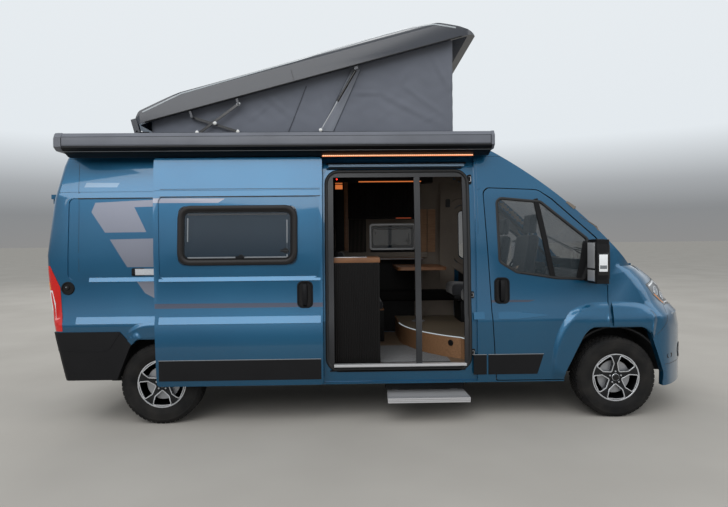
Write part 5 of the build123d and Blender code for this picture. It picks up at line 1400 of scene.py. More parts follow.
def tentTop(x):
    plan = roofPlan
    sine, cosine = math.sin(plan["angle"]), math.cos(plan["angle"])
    along = x - plan["hinge"][0] + plan["line"] * sine
    return plan["hinge"][1] + along * math.tan(plan["angle"]) + plan["line"] * cosine


tentPlan = {
    "creases": (  # in x and z on the flank: start, end, depth, width
        ((0.02, 2.93), (0.62, 2.62), 0.01, 0.03), ((0.2, 3.02), (0.63, 2.7), 0.007, 0.024),
        ((-0.28, 2.96), (0.05, 2.95), 0.006, 0.022),
        ((0.1, 2.93), (0.3, 3.28), 0.005, 0.03), ((-1.05, 2.92), (-0.78, 2.7), 0.006, 0.03),
        ((-1.2, 2.72), (-0.95, 2.95), 0.005, 0.024),
        ((-0.55, 2.95), (-0.46, 2.64), 0.005, 0.024), ((0.45, 3.3), (0.62, 2.98), 0.008, 0.022),
        ((0.3, 2.66), (0.6, 2.8), 0.005, 0.022),
        ((-1.75, 2.64), (-1.45, 2.78), 0.005, 0.024), ((-0.1, 2.64), (0.12, 2.86), 0.004, 0.03),
    ),
    "flap": ((-0.285, 3.17), (-0.2, 3.17), (-0.455, 2.605), (-0.575, 2.605)),
            "seam": ((-0.7, 3.02), (-0.865, 2.605)),
    "sag": 0.022,
}


def wrinkle(u, v):
    depth = 0.0
    spot = Vector((u, v))
    for start, end, high, wide in tentPlan["creases"]:
        start, end = Vector(start), Vector(end)
        along = end - start
        share = max(0, min(1, (spot - start).dot(along) / along.length_squared))
        gap = (spot - start - along * share).length
        side = (spot - start).cross(along)
        ditch = 0.6 * math.exp(-((gap - wide * 1.4) / wide) ** 2) * (1 if side > 0 else 0.4)
        wave = math.exp(-(gap / wide) ** 2) - ditch
        depth += high * wave * math.sin(math.pi * min(1, 0.15 + share * 0.85))
    depth += 0.0016 * math.sin(u * 31 + math.sin(v * 23))
    return depth + 0.0012 * math.sin(v * 47 + 2.1 * math.sin(u * 17))


def tentSheet():
    plan = roofPlan
    rear, front = plan["tent"]
    half, corner = plan["tentHalf"] - 0.002, 0.045
    line = spaced(rect(rear, -half, front, half, corner, 5), 0.018)
    rows = 44
    cloth = Shape().ink("tentCloth")
    grid = []
    for row in range(rows + 1):
        share = row / rows
        ring = []
        for index, (x, y) in enumerate(line):
            top = tentTop(min(max(x, rear), front)) - 0.012
            z = plan["low"] + (top - plan["low"]) * share
            held = math.sin(math.pi * share) ** 0.7
            if abs(y) > half - 0.001:
                normal = Vector((0, math.copysign(1, y)))
            elif abs(y) < half - corner:
                normal = Vector((1 if x > 0 else -1, 0))
            else:
                normal = Vector((math.copysign(0.7, x + 0.7), math.copysign(0.7, y)))
            u = x if abs(y) > half - corner else front + abs(y) * 0.4 - 0.3
            tall = (top - plan["low"]) / 0.86
            out = (wrinkle(u, z) * (1 if y < 0
                    else 0.8) - tentPlan["sag"] * tall * math.sin(math.pi * share)
                   * min(1, (x - rear) / 0.5,
                         (front - x + 0.02) / 0.35 + (0.3 if abs(y) < half - corner else 0))) * held
            out = min(out, 0.004)
            ring.append(Vector((x + normal.x * out, y + normal.y * out, z)))
        grid.append(ring)
    cloth.loft(grid, False, True, False)
    cloth.mesh.verts.index_update()
    tree = BVHTree.FromPolygons([v.co for v in cloth.mesh.verts],
            [[v.index for v in f.verts] for f in cloth.mesh.faces])
    for sign in (-1, 1):
        def onCloth(u, v, w, sign=sign):
            hit = tree.ray_cast(Vector((u, sign * 2, v)), Vector((0, -sign, 0)))[0]
            return Vector((u, sign * (half + w), v)) if hit is None else hit + Vector((0, sign * w, 0))
        cloth.place = onCloth
        flap = tentPlan["flap"]
        left = spaced([flap[3], flap[0]], 0.035, False)
        right = spaced([flap[2], flap[1]], 0.0335, False)
        count = min(len(left), len(right))
        rings = []
        for index in range(count):
            a, b = left[index], right[index]
            rings.append([onCloth(*a.lerp(b, share), out) for share,
                          out in ((0, 0.001), (0.02, 0.004), (0.5, 0.0055), (0.98, 0.004), (1, 0.001))])
        cloth.ink("tentBand").sheetOf(rings)
        for a, b in (((flap[3][0], flap[3][1]), (flap[0][0], flap[0][1])), (flap[2], flap[1]),
                     tentPlan["seam"]):
            a, b = Vector(a), Vector(b)
            cloth.ink("tentSeam").strip([a, b], 0.006, 0.0062, 0.001, 0.001, 0.035)
    tent = cloth.done("tentSheet", "body", "tent_fabric", 0)
    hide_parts("tent")
    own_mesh(tent)


tentSheet()


def stayDress():
    spots = {
        "stays_rising": ((-1.309, 2.848, -0.83), (-1.685, 2.592, -0.834), (-1.524, 2.674, -0.83)),
        "body": ((-1.324, 2.603, -0.808), (-0.57, 2.608, -0.829)), "roof": ((-0.241, 3.161, -0.834),),
    }
    for body, places in spots.items():
        bolts = Shape()
        for x, z, y in places:
            for sign in (1, -1):
                bolts.ink("plate").turn([(0.013, 0.0), (0.013, 0.004), (0.009, 0.008), (0.0, 0.009)],
                        (x, y * sign, z), (0, -sign, 0), 16)
                bolts.ink("steel").turn([(0.017, -0.001), (0.017, 0.0015), (0.013, 0.002), (0.012, 0.0)],
                        (x, y * sign, z), (0, -sign, 0), 16)
        bolts.done("stayBolts_" + body, body, "stay_metal")


stayDress()
print("roof done")


# Linings of the living space and the cab

roomPlan = {
    "inside": -0.063, "room": (-2.86, 0.955), "low": 0.484, "rib": 0.0165,
    "farWindows": ((-2.449, -1.749), (-0.093, 0.49)), "windowZ": (1.481, 1.82), "doorway": (-0.545, 0.765),
    "arch": -1.48, "overArch": 0.84,
}


def panel(form, u0, u1, v0, v1, step=0.12):
    rows = max(1, math.ceil((v1 - v0) / step))
    count = max(1, math.ceil((u1 - u0) / step))
    form.sheetOf([[form.place(u0 + (u1 - u0) * col / count, v0 + (v1 - v0) * row / rows, 0)
            for col in range(count + 1)]
                  for row in range(rows + 1)])


def linings():
    plan = roomPlan
    rear, front = plan["room"]
    low, high = plan["windowZ"][0] + 0.02, plan["windowZ"][1] - 0.02
    wall = Shape(onSide(1, plan["inside"]))
    edges = [rear] + [x + margin for pair in plan["farWindows"] for x,
            margin in zip(pair, (0.02, -0.02))] + [front]
    for index, (u0, u1) in enumerate(zip(edges, edges[1:])):
        foot = plan["overArch"] if index < 3 else plan["low"]
        bands = ((foot, low), (high, 2.3)) if index in (1, 3) else ((foot, 2.3),)
        for v0, v1 in bands:
            wall.ink("lining" if index != 3 or v0 > 1 else "boardDark")
            panel(wall, u0, u1, v0, v1)
    wall.ink("boardDark")
    panel(wall, plan["arch"], edges[3], plan["low"], plan["overArch"])
    for x0, x1 in plan["farWindows"]:  # inner frames with the blind's box
        outline = rect(x0 + 0.02, low, x1 - 0.02, high, 0.03, 5)
        wall.ink("steel").sweep(outline, [(-0.012, 0.001), (-0.01, -0.012), (0.01, -0.012), (0.012, 0.001)])
        wall.ink("trimEdge").sweep([(x0 + 0.04, high - 0.04), (x1 - 0.04, high - 0.04)],
                [(-0.008, 0.0), (-0.008, -0.01), (0.008, -0.01), (0.008, 0.0)], False)
    wall.ink("boardDark").sweep([(rear, 0.926), (front, 0.926)],
            [(-0.075, 0.004), (-0.05, -0.026), (0.05, -0.026), (0.075, 0.004)], False)
    wall.done("liningFar")
    near = Shape(onSide(-1, plan["inside"])).ink("lining")
    for u0, u1, v0 in ((rear, plan["arch"], plan["overArch"]),
            (plan["arch"], plan["doorway"][0], plan["low"]),
            (plan["doorway"][1], front, plan["low"])):
        panel(near, u0, u1, v0, 2.3)
    near.done("liningNear")
    roofInside = onSkin(treeOf("roof_panel"), "z", -1)
    roof = Shape(lambda u, v, w: roofInside(u, v, w + 0.004)).ink("lining")
    for u0, u1, v0, v1 in ((-2.8, -0.21, -0.8, 0.8), (-0.21, 0.66, -0.8, -0.42), (-0.21, 0.66, 0.42, 0.8),
            (0.66, 1.12, -0.74, 0.74)):
        panel(roof, u0, u1, v0, v1)
    roof.ink("pearWood").sweep(rect(-0.19, -0.4, 0.64, 0.4, 0.05, 5), padding(0.03, 0.02, 0.004, 0.01))
    roof.ink("amberGlow").strip([(-0.2, 0.438), (0.6, 0.438)], 0.012, 0.01, 0.002, 0.004)
    roof.done("liningRoof")


linings()


def innerCover(form, tree, start, aim, us, vs, lift=0.004):
    # Cells laid on what rays from the middle of the room meet, left open where they meet nothing
    spots = {}
    for u in us:
        for v in vs:
            hit = tree.ray_cast(start(u, v), aim)[0]
            if hit is not None:
                spots[u, v] = hit - aim * lift
    for u0, u1 in zip(us, us[1:]):
        for v0, v1 in zip(vs, vs[1:]):
            corners = [spots.get(key) for key in ((u0, v0), (u1, v0), (u1, v1), (u0, v1))]
            if None not in corners and max((a - b).length for a in corners for b in corners) < 0.16:
                form.facet([form.mesh.verts.new(corner) for corner in corners])


def steps(first, last, count):
    return [first + (last - first) * index / count for index in range(count + 1)]


def shoulders():
    # The curved shoulder between wall and ceiling, the cab's head lining and the windscreen's pillars
    form = Shape().ink("lining")
    for side, word in ((-1, "right"), (1, "left")):
        tree = treeOf("side_panel_" + word, "roof_panel")
        aim = Vector((0, side, 0))
        innerCover(form, tree, lambda u, v: Vector((u, 0, v)), aim, steps(-2.8, 0.93, 40),
                   steps(2.1, 2.464, 12))
        innerCover(form, tree, lambda u, v: Vector((u, 0, v)), aim, steps(0.93, 1.9, 32),
                   steps(1.5, 2.46, 30))
    innerCover(form, treeOf("roof_panel"), lambda u, v: Vector((u, v, 1.2)), Vector((0, 0, 1)),
               steps(0.62, 1.6, 20), steps(-0.8, 0.8, 26))
    form.done("liningShoulders", "body", "black_plastic", 50, 0.0002)


shoulders()


def cabLining(word, side):
    # Door card, arm rest and the pillar's trim seen through the windows
    inner = mirrored(onSkin(doorSkin, "y", -1), side, 0.064)
    card = Shape(inner).ink("softBlack")
    for (u0, v0), (u1, v1) in (((1.01, 0.5), (1.5, 1.24)), ((1.5, 0.84), (1.93, 1.215))):
        panel(card, u0, u1, v0, v1)
    card.ink("lining")
    panel(card, 1.00, 1.16, 1.24, 1.36, 0.05)
    card.ink("softBlack").sweep([(1.15, 1.02), (1.45, 1.03), (1.72, 1.05)],
            [(-0.03, 0.004), (-0.026, -0.06), (0.026, -0.06), (0.03, 0.004)], False)
    card.ink("machined").slab(rect(1.62, 1.11, 1.74, 1.14, 0.008), -0.012, -0.002, 0.003)
    window = spaced(rounded(cabPlan["window"], cabPlan["radii"], 6), 0.1)
    card.ink("lining").loft([[inner(p.x, p.y, w) for p in inset(window, across)] for across,
            w in ((-0.002, 0.004), (-0.006, -0.012), (-0.06, -0.012), (-0.066, 0.004))],
            False, True, False)
    card.done("doorCard" + word, "cab_door_" + word.lower(), "black_plastic")
    pillar = Shape(onSide(side, roomPlan["inside"] - 0.012)).ink("lining")
    pillar.slab([(0.775, 1.1), (0.955, 1.1), (0.955, 1.98), (0.9, 2.2), (0.775, 2.2)], -0.004, 0.01, 0.003)
    pillar.ink("softBlack").strip([(0.865, 2.02), (0.868, 1.6), (0.872, 1.14)], 0.046, -0.004, 0.0004,
            -0.008)
    pillar.on(inner).ink("lining").loft([[inner(p.x, p.y, w) for p in inset(window, across)] for across,
            w in (
        (-0.072, -0.004), (-0.074, -0.022), (-0.15, -0.022), (-0.156, 0.0))], False, True, False)
    pillar.on(onSide(side, roomPlan["inside"] - 0.012)).ink("lining").slab([(0.76, 2.18), (1.06, 2.18),
            (0.98, 2.27), (0.76, 2.29)], -0.004, 0.01, 0.003)
    pillar.ink("frameGrey").slab(rect(0.84, 2.00, 0.895, 2.1, 0.014, 4), -0.022, -0.002, 0.004)
    pillar.done("pillarTrim" + word)


for word, side in (("Right", -1), ("Left", 1)):
    cabLining(word, side)
print("linings done")


# Kitchen, lockers, table, podium and floor

furniturePlan = {
    "kitchen": {
        "x": (-1.066, -0.052), "y": (-0.9, -0.42), "z": (0.486, 1.4), "top": (1.402, 1.448), "end": -0.092,
        "drawers": ((0.5, 0.74), (0.75, 0.98), (0.99, 1.2), (1.21, 1.385)),
        "columns": ((-1.06, -0.585), (-0.575, -0.1)),
        "burners": (-0.88, -0.68),
        "tap": [(-0.53, -0.83, 1.445), (-0.53, -0.83, 1.56), (-0.53, -0.8, 1.6), (-0.53, -0.72, 1.6),
        (-0.53, -0.69, 1.57)],
    },
    "lockers": {
        "x": (-0.489, 0.481), "z": (1.886, 2.284), "low": 0.64, "high": 0.69,
        "boards": (
            ("boardDark", (-0.493, 0.636, 1.866), (0.485, 0.884, 1.884), 0.004),
            ("dimGlow", (0.22, 0.632, 1.862), (0.4, 0.64, 1.872), 0.002),
            ("boardDark", (-0.489, 0.64, 2.28), (0.66, 0.77, 2.4), 0.006),
            ("softGlow", (-0.215, 0.634, 2.29), (0.52, 0.642, 2.302), 0.002),
            # post on the bench's back, shelf with a warm light, and the red lamp above
            ("pearWood", (-0.388, 0.592, 1.49), (-0.34, 0.632, 2.29), 0.006),
            ("boardDark", (-0.489, 0.6, 1.49), (-0.39, 0.64, 2.29), 0.004),
            ("boardDark", (-0.489, 0.585, 2.19), (-0.398, 0.604, 2.36), 0.004),
            ("redGlow", (-0.476, 0.58, 2.312), (-0.46, 0.588, 2.328), 0.003),
            ("softGlow", (-0.486, 0.58, 2.205), (-0.402, 0.588, 2.258), 0.003),
            ("softGlow", (-0.486, 0.58, 2.27), (-0.402, 0.588, 2.279), 0.002),
            # ledge under the far window and the second leaf of the table
            ("lining", (-0.42, 0.87, 1.395), (0.62, 0.928, 1.462), 0.01),
            ("pearWood", (-0.335, 0.76, 1.372), (0.56, 0.9, 1.396), 0.008),
            ("trimEdge", (-0.33, 0.757, 1.377), (0.555, 0.763, 1.39), 0.002),
        ),
        "posts": ((0.525, 0.615), (0.625, 0.72)),
        "door": (("pearWood", (-1.25, 0.288, 0.5), (-0.62, 0.3005, 2.26), 0.004),
        ("boardDark", (-1.23, 0.284, 0.54), (-0.64, 0.292, 2.22), 0.006)),
        "doorHandle": [(-0.68, 0.286, 1.3), (-0.68, 0.252, 1.3), (-0.68, 0.252, 1.42),
        (-0.68, 0.286, 1.42)],
    },
    "floor": 0.48, "podiumTop": 0.68, "tableTop": 1.31, "tableFoot": (0.451, 0.42),
    "mat": ((-0.045, -0.84), (0.6, -0.84), (0.6, -0.66), (0.4, -0.38), (0.29, -0.1), (0.27, -0.02),
            (-0.045, -0.02)),
    "podium": ((0.721, -0.7), (0.411, -0.33), (0.221, 0.3)), "podiumStart": (0.795, -0.895),
    "podiumBack": ((0.225, 0.88), (1.575, 0.88), (1.575, -0.88)), "socket": {"share": 0.1, "height": 0.618},
    "aisle": (-1.35, -0.38, -0.1, 0.24), "table": (0.188, 0.047, 0.724, 0.897),
    "tableLeg": (  # height and rings of the foot, the collar and the head of the leg
        (0.6795, ((0.075, 0.0), (0.075, 0.008), (0.036, 0.022), (0.0335, 0.05), (0.0335, 0.06))),
        (1.05, ((0.0335, 0.0), (0.0345, 0.004), (0.0345, 0.03), (0.0335, 0.034))),
        (1.229, ((0.0335, 0.0), (0.036, 0.03), (0.075, 0.044), (0.075, 0.05))),
    ),
}


def ribUnit(name, height, width=0.0062):
    unit = Shape()
    rings = [[Vector((width * math.cos(a), -0.0064 * math.sin(a), z))
              for a in [math.pi * k / 6 for k in range(7)]] for z in (0, height)]
    unit.loft(rings)
    return unit.done(name, None, None, 40)


def ribbed(name, start, end, low, height, lean=0.0):
    # Vertical ribs side by side along a line in x and y
    start, end = Vector((*start, low)), Vector((*end, low))
    count = round((end - start).length / roomPlan["rib"])
    turn = math.atan2(end.y - start.y, end.x - start.x)
    unit = ribUnit(name + "Unit", height)
    spots = [(tuple(start.lerp(end, (index + 0.5) / count)), (lean, 0, turn)) for index in range(count)]
    enter(name, repeated(name, unit, spots, "ribBoard"), "body")


def kitchen():
    plan = furniturePlan["kitchen"]
    (x0, x1), (y0, y1), (z0, z1), (under, top) = plan["x"], plan["y"], plan["z"], plan["top"]
    unit = Shape()
    unit.boxes(("boardDark", (x0, y0 - 0.003, z0), (x1, y0 + 0.006, z1), 0.002),
               ("boardDark", (plan["end"], y0, z0), (x1 - 0.004, y1 + 0.006, z1), 0.003),
               ("pearWood", (x0 - 0.018, y0 - 0.0085, under), (x1 + 0.006, y1 + 0.024, top), 0.006))
    for low, high in plan["drawers"]:
        for left, right in plan["columns"]:
            unit.boxes(("boardDark", (left, y1 - 0.004, low), (right, y1 + 0.012, high), 0.004),
                       ("machined", (left + 0.1, y1 + 0.01, high - 0.035),
                        (right - 0.1, y1 + 0.022, high - 0.023), 0.003))
    unit.ink("glossBlack").box((-0.98, -0.82, top - 0.004), (-0.58, -0.5, top + 0.004), 0.01)
    for x in plan["burners"]:
        unit.ink("softBlack").turn([(0.055, 0.0), (0.055, 0.01), (0.045, 0.014), (0.0, 0.015)],
                (x, -0.66, top + 0.003),
                (0, 0, 1), 28)
    unit.boxes(("machined", (-0.5, -0.8, top - 0.004), (-0.16, -0.5, top + 0.003), 0.012),
               ("iron", (-0.485, -0.785, top - 0.002), (-0.175, -0.515, top + 0.0036), 0.02))
    unit.ink("machined").rod(plan["tap"], 0.009, 12)
    unit.done("kitchenDress", "body", "dark_wood")
    ribbed("kitchenRibs", (x0 + 0.01, y0 - 0.0025), (x1 - 0.006, y0 - 0.0025), z0 + 0.02, z1 - z0 - 0.03)
    ribbed("kitchenEndRibs", (x1 - 0.004, y0 + 0.012), (x1 - 0.004, y1 - 0.004), z0 + 0.02, z1 - z0 - 0.03)


def lockers():
    plan = furniturePlan["lockers"]
    (x0, x1), (z0, z1) = plan["x"], plan["z"]
    lean = math.atan2(plan["high"] - plan["low"], z1 - z0)
    ribbed("lockerRibs", (x0 + 0.005, plan["low"] - 0.002), (x1 - 0.005, plan["low"] - 0.002), z0, z1 - z0,
           -lean)
    board = Shape()
    board.boxes(*plan["boards"])
    board.on(onSide(1, roomPlan["inside"])).ink("podiumWood")
    for left, right in plan["posts"]:
        board.slab([Vector(p) for p in ((left, 1.46), (right, 1.46), (right, 1.98), (left, 1.98))], -0.016,
                   -0.002, 0.002)
    board.done("lockerDress", "body", "dark_wood")
    ribbed("wallRibs", (-0.335, 0.921), (-0.125, 0.921), 1.462, 0.42, 0.083)
    door = Shape()  # of the washroom, in the aisle
    door.boxes(*plan["door"])
    door.ink("machined").rod(plan["doorHandle"], 0.007, 10)
    door.done("washroomDoor", "body", "dark_wood")


def level(name):  # flat pieces lie on a named height
    return lambda u, v, w: Vector((u, v, furniturePlan[name] + w))


def floorDress():
    # The podium's edge is the circle through three points
    plan = furniturePlan
    first, mid, last = [Vector(p) for p in plan["podium"]]
    b, c = mid - first, last - first
    bb, cc = b.length_squared, c.length_squared
    centre = first + Vector((c.y * bb - b.y * cc, b.x * cc - c.x * bb)) / (2 * (b.x * c.y - b.y * c.x))
    radius = (first - centre).length
    a0, a1 = math.atan2(*(first - centre).yx), math.atan2(*(last - centre).yx)
    swing = (a1 - a0 + math.pi) % (2 * math.pi) - math.pi
    arc = [centre + Vector((math.cos(a0 + swing * k / 28), math.sin(a0 + swing * k / 28))) * radius
           for k in range(29)]
    edge = [p + (p - centre).normalized() * -0.004 for p in arc]
    outline = [Vector(plan["podiumStart"])] + edge + [Vector(p) for p in plan["podiumBack"]]
    top = Shape(level("podiumTop")).ink("podiumTop")
    top.slab([Vector((p.x + 0.006, p.y)) for p in outline], -0.001, 0.004, 0.001)
    top.ink("whiteGlow").sweep([(0.791, -0.893)] + arc, [(-0.002, -0.006), (-0.002, 0.005), (0.004, 0.005),
            (0.004, -0.002)], False)
    top.done("podiumTopSheet", "body", "pale_wood")
    # Round socket in the curved face, a little way behind the arc's start
    angle = a0 + swing * plan["socket"]["share"]
    out = Vector((math.cos(angle), math.sin(angle)))
    spot = centre + out * radius
    facing = out if out.y < 0 else -out
    face = Shape().ink("softBlack")
    face.turn([(0.03, -0.001), (0.03, 0.003), (0.026, 0.005), (0.024, 0.001), (0.0, 0.001)],
              (spot.x, spot.y, plan["socket"]["height"]), (facing.x, facing.y, 0), 24)
    face.done("podiumSocket")
    for name, outline in (("floorMat", rounded(plan["mat"], 0.02, 3)),
            ("aisleMat", rect(*plan["aisle"], 0.03, 4))):
        mat = Shape(level("floor")).ink("carpet")
        mat.slab(outline, 0.0005, 0.009, 0.003)
        mat.done(name, "body", "floor_lining")
    table = Shape(level("tableTop")).ink("pearWood")
    table.slab(rect(*plan["table"], 0.05, 5), -0.004, 0.004, 0.0015)
    for height, rings in plan["tableLeg"]:
        table.ink("steel").turn(rings, (*plan["tableFoot"], height), (0, 0, 1), 32)
    table.done("tableDress", "body", "pale_wood")


kitchen()
lockers()
floorDress()
print("furniture done")


# Padded pieces: each starts slightly small, is inflated by a short cloth run and keeps its flat rest

padPlan = {  # centre, size, tilt in degrees, how far it swells, voxel and the places of the sewn channels
    "seatCushion": ((1.05, 0.47, 1.038), (0.505, 0.49, 0.125), 2.0, 0.012, 0.013, (-0.35, 0.35)),
    "seatBack": ((1.381, 0.47, 1.338), (0.094, 0.47, 0.635), 9.2, 0.012, 0.013, (-0.3, 0.35)),
    "seatHead": ((1.452, 0.47, 1.748), (0.066, 0.25, 0.185), 7.0, 0.008, 0.009, ()),
    "benchCushion": ((-0.185, 0.575, 0.881), (0.47, 0.64, 0.09), 0, 0.012, 0.014, (-0.3, 0.35)),
    "benchBack": ((-0.415, 0.565, 1.215), (0.082, 0.6, 0.54), -5.5, 0.011, 0.014, None),
    "bedMattressRear": ((-2.47, 0, 1.119), (0.7, 1.78, 0.118), 0, 0.01, 0.02, (-0.35, 0.35)),
    "bedMattressFront": ((-1.754, 0, 1.119), (0.7, 1.78, 0.118), 0, 0.01, 0.02, (-0.35, 0.35)),
}
padPlan = {name: dict(zip(("centre", "size", "tilt", "cap", "voxel", "channels"), row), name=name)
           for name, row in padPlan.items()}


def pad(plan, cloth):
    size = Vector(plan["size"])
    form = Shape().ink(cloth)
    form.box(tuple(-size / 2), tuple(size / 2), min(size) * 0.36, 4)
    piece = form.done(plan["name"], "body", "mattress_cover" if cloth == "bedCloth" else "upholstery", 0)
    material = piece.data.materials[0]
    remesh = piece.modifiers.new("even", "REMESH")
    remesh.mode = "VOXEL"
    remesh.voxel_size = plan["voxel"]
    remesh.use_smooth_shade = True
    applyModifiers(piece, material)
    rest = [vertex.co.copy() for vertex in piece.data.vertices]
    cloth = piece.modifiers.new("fill", "CLOTH")
    cloth.settings.quality = 4
    cloth.settings.use_pressure = True
    cloth.settings.uniform_pressure_force = 4
    cloth.settings.effector_weights.gravity = 0
    for moment in range(1, 21):
        scene.frame_set(moment)
    swollen = piece.evaluated_get(bpy.context.evaluated_depsgraph_get())
    after = [vertex.co.copy() for vertex in swollen.data.vertices]
    piece.modifiers.remove(cloth)
    scene.frame_set(1)
    thin = min(range(3), key=lambda axis: size[axis])
    for vertex, start, end in zip(piece.data.vertices, rest, after):
        move = end - start
        if move.length > plan["cap"]:
            move *= plan["cap"] / move.length
        spot = start + move
        floor = -size[thin] / 2 - 0.001
        if spot[thin] < floor:
            spot[thin] = floor
        vertex.co = spot
    fine = piece.modifiers.new("fine", "SUBSURF")
    fine.levels = fine.render_levels = 1
    applyModifiers(piece, material)
    return piece


def applyModifiers(piece, material):
    done = piece.evaluated_get(bpy.context.evaluated_depsgraph_get())
    mesh = bpy.data.meshes.new_from_object(done)
    piece.modifiers.clear()
    piece.data = mesh
    mesh.materials.clear()
    mesh.materials.append(material)
    mesh.polygons.foreach_set("use_smooth", [True] * len(mesh.polygons))


def padSeams(piece, plan):
    # Piping and sewn channels laid on the finished pad, in its own frame
    thin = min(range(3), key=lambda axis: plan["size"][axis])
    mesh = piece.data
    tree = BVHTree.FromPolygons([vertex.co.copy() for vertex in mesh.vertices],
            [list(face.vertices) for face in mesh.polygons])
    half = Vector(plan["size"]) / 2

    def onPad(u, v, w):
        start, aim = (Vector((u, v, 1)), Vector((0, 0, -1))) if thin == 2 else (Vector((-1, u, v)),
                Vector((1, 0, 0)))
        hit = tree.ray_cast(start, aim)[0] or tree.find_nearest(start + aim)[0]
        return hit - aim * w
    seams = Shape(onPad).ink("piping")
    ring = (half.x - 0.035, half.y - 0.035) if thin == 2 else (half.y - 0.035, half.z - 0.035)
    a, b = ring
    seams.sweep(spaced(rect(-a, -b, a, b, 0.045, 5), 0.03), padding(0.0046, 0.0024, 0.001, 0.002))
    for share in plan["channels"]:
        ends = ((share * a, -b), (share * a, b)) if thin == 2 else ((-a, share * b), (a, share * b))
        seams.strip([Vector(p) for p in ends], 0.0036, 0.0012, 0.0005, 0.002, 0.03)
    return seams.done(piece.name + "Seams", "body", "upholstery", 0)


def placePad(pieces, plan, side=1):
    turn = Matrix.Translation(Vector((plan["centre"][0], plan["centre"][1] * side,
            plan["centre"][2]))) @ Matrix.Rotation(math.radians(plan["tilt"]), 4, "Y")
    for piece in pieces:
        piece.data.transform(turn)


def seats():
    for name in ("seatCushion", "seatBack", "seatHead"):
        plan = padPlan[name]
        piece = pad(plan, "seatCloth")
        seams = padSeams(piece, plan)
        for original in (piece, seams):
            twin = enter(original.name + "Right", original.data.copy(), "body")
            placePad([twin], plan, -1)
        placePad([piece, seams], plan)
    for side, word in ((-1, "Right"), (1, "Left")):
        y = 0.47 * side
        base = Shape().ink("softBlack")
        base.box((0.905, y - 0.205, 0.684), (1.215, y + 0.205, 0.925), 0.016)
        base.boxes(("glossBlack", (0.88, y - 0.215, 0.922), (1.24, y + 0.215, 0.944), 0.006),
                   ("softBlack", (0.83, y - 0.23, 0.942), (1.29, y + 0.23, 0.985), 0.014))
        for out in (-0.07, 0.07):
            base.ink("steel").rod([(1.452, y + out, 1.63), (1.467, y + out, 1.7)], 0.007, 10)
        for out in (-1, 1):
            base.ink("softBlack").turn([(0.036, 0.0), (0.036, 0.012), (0.028, 0.02), (0.0, 0.021)],
                    (1.262, y + out * 0.232, 1.02), (0, out, 0), 20)
            base.ink("softBlack").box((1.05, y + out * 0.236 - 0.0105, 0.955),
                    (1.31, y + out * 0.236 + 0.0105, 1.05), 0.008)
        base.done("seatBase" + word, "body", "upholstery")
    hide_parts("cab_seats")


def bench():
    box = Shape().ink("boardDark")
    box.box((-0.447, 0.252, 0.484), (0.049, 0.898, 0.836), 0.006)
    box.boxes(("pearWood", (-0.449, 0.25, 0.828), (0.051, 0.9, 0.842), 0.004),
              ("boardDark", (-0.491, 0.252, 0.9), (-0.452, 0.878, 1.492), 0.006))
    box.ink("glossBlack").turn([(0.03, 0.0), (0.03, 0.003), (0.026, 0.005), (0.0, 0.0052)],
            (-0.02, 0.2525, 0.56), (0, -1, 0), 24)
    box.done("benchBox", "body", "dark_wood")
    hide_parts("bench_seat")


def flatPads():
    for name in ("benchCushion", "benchBack", "bedMattressRear", "bedMattressFront"):
        plan = padPlan[name]
        piece = pad(plan, "bedCloth" if name.startswith("bed") else "seatCloth")
        placePad([piece, padSeams(piece, plan)] if plan["channels"] else [piece], plan)
    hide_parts("mattress")


seats()
bench()
flatPads()
print("padded pieces done")


cabinPlan = {
    "hood": ((1.7, 0.24, 1.255), (1.86, 0.68, 1.345)),
             "screen": ((1.694, -0.16, 1.135), (1.712, 0.14, 1.305)),
    "vents": (-0.78, -0.26, 0.2, 0.76), "trim": ((1.693, -0.2, 1.04), (1.706, 0.18, 1.052)),
    "lever": [(1.71, 0.1, 1.02), (1.64, 0.1, 1.09), (1.6, 0.1, 1.11)],
    "wheel": (1.571, 0.45, 1.3), "wheelTilt": math.radians(28),
    "grooves": (-1.1385, -1.1185, -1.0985), "edgeLines": (0.212, 0.226),
              # of the step: y on its top, z on its edge
}


def cabDress():
    # Dashboard screen, air vents, instrument hood, gear lever and wheel trim
    plan = cabinPlan
    dash = Shape()
    dash.boxes(("softBlack", *plan["hood"], 0.03), ("glossBlack", *plan["screen"], 0.006))
    for y in plan["vents"]:
        dash.ink("trimEdge").turn([(0.045, 0.0), (0.045, 0.012), (0.036, 0.014), (0.034, 0.004),
                (0.0, 0.004)],
                (1.706, y, 1.12), (-1, 0, 0.2), 24)
    dash.ink("machined").box(*plan["trim"], 0.002)
    dash.ink("softBlack").rod(plan["lever"], [0.016, 0.012, 0.02], 12)
    dash.done("dashDress")
    axis = (math.cos(plan["wheelTilt"]), 0, -math.sin(plan["wheelTilt"]))
    wheel = Shape().ink("softBlack")
    wheel.turn([(0.072, -0.018), (0.066, -0.03), (0.03, -0.036), (0.0, -0.037)], plan["wheel"], axis, 28)
    wheel.ink("machined").turn([(0.02, -0.036), (0.02, -0.0385), (0.0, -0.039)], plan["wheel"], axis, 20)
    wheel.done("wheelHub", "steering_wheel")


def stepDress():
    step = Shape().ink("frameGrey")
    for y in cabinPlan["grooves"]:
        step.box((0.006, y - 0.0015, 0.2385), (0.708, y + 0.0015, 0.2402), 0.0005)
    for z in cabinPlan["edgeLines"]:
        step.box((0.003, -1.1503, z - 0.001), (0.711, -1.1485, z + 0.001), 0.0004)
    step.done("stepDress", "step", "alloy")


cabDress()
stepDress()
print("cab and step done")


# Floor, light and camera

studio = {
    "floor": tone(158, 154, 148), "strength": 0.92, "keyPower": 420, "fillPower": 140,
    "stops": [(0.0, (0.3, 0.295, 0.29, 1)), (0.5, (0.29, 0.29, 0.29, 1)), (0.525, (0.27, 0.28, 0.29, 1)),
              (0.548, (0.42, 0.44, 0.46, 1)), (0.585, (0.84, 0.89, 0.93, 1)), (1.0, (0.95, 0.98, 1.0, 1))],
}


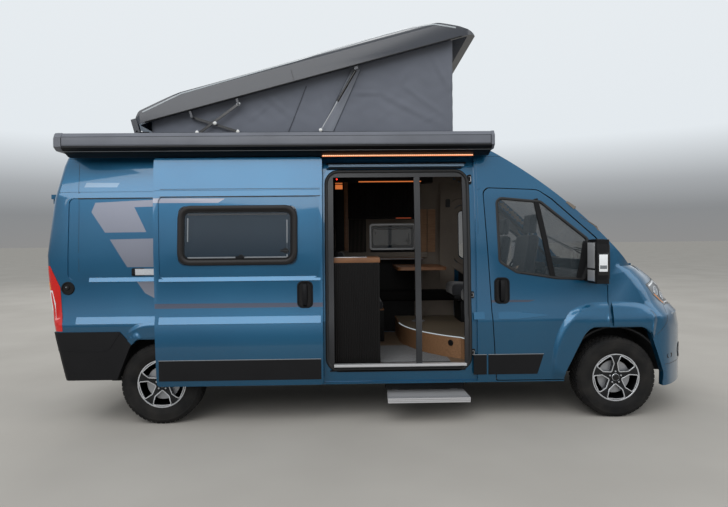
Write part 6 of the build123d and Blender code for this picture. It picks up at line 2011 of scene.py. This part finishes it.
def stageFloor():
    f = Finish("studioFloor")
    shade = f.mix(f.between(f.noise(0.7, 3), 0.3, 0.7), studio["floor"], tone(166, 162, 156))
    lit = f.add("ShaderNodeBsdfDiffuse", None, {"Color": shade})
    f.add("ShaderNodeOutputMaterial", None, {0: lit})
    mesh = bpy.data.meshes.new("floor")
    reach = 400
    mesh.from_pydata([(-reach, -reach, 0), (reach, -reach, 0), (reach, reach, 0), (-reach, reach, 0)], [],
            [(0, 1, 2, 3)])
    mesh.materials.append(f.material)
    enter("floor", mesh)


def skyWorld():
    f = Finish("studioSky", True)
    # A pale sky over a low hazy horizon, the same for every ray, so that the paint and glass show it too
    height = f.axes()[2] * 0.5 + 0.5
    shade = f.add("ShaderNodeValToRGB", {"stops": studio["stops"]}, {0: height})
    back = f.add("ShaderNodeBackground", None, {"Color": shade, "Strength": studio["strength"]})
    f.add("ShaderNodeOutputWorld", None, {0: back})
    scene.world = f.material


def areaLamp(name, place, target, size, power, colour=(1, 1, 1)):
    data = bpy.data.lights.new(name, "AREA")
    data.energy = power
    data.size = size
    data.color = colour
    lamp = bpy.data.objects.new(name, data)
    lamp.location = place
    lamp.rotation_euler = (Vector(target) - Vector(place)).to_track_quat("-Z", "Y").to_euler()
    scene.collection.objects.link(lamp)


def photoCamera():
    view = {"place": (-0.289, -5.919, 1.585), "yaw": -1.14, "pitch": -1.14, "roll": -0.56, "focal": 557.9,
            "width": 728}
    yaw, pitch, roll = (math.radians(view[key]) for key in ("yaw", "pitch", "roll"))
    level = Vector((-math.sin(yaw), math.cos(yaw), 0))
    across = Vector((math.cos(yaw), math.sin(yaw), 0))
    ahead = level * math.cos(pitch) + Vector((0, 0, 1)) * math.sin(pitch)
    above = across.cross(ahead)
    right = across * math.cos(roll) + above * math.sin(roll)
    upward = right.cross(ahead)
    data = bpy.data.cameras.new("camera")
    data.sensor_width = 36
    data.lens = view["focal"] / view["width"] * 36
    data.clip_end = 900
    camera = bpy.data.objects.new("camera", data)
    turn = Matrix((right, upward, -ahead)).transposed().to_4x4()
    camera.matrix_world = Matrix.Translation(view["place"]) @ turn
    scene.collection.objects.link(camera)
    scene.camera = camera


stageFloor()
skyWorld()
areaLamp("keyLamp", (-5, -14, 12), (0, 0, 1), 14, studio["keyPower"] * 4)
areaLamp("sideLamp", (14, -8, 9), (1, 0, 1), 12, studio["fillPower"] * 4)
areaLamp("backLamp", (-3, 14, 12), (0, 0, 1), 14, studio["keyPower"] * 2)
photoCamera()
scene.view_settings.view_transform = "Standard"
print("stage ready")
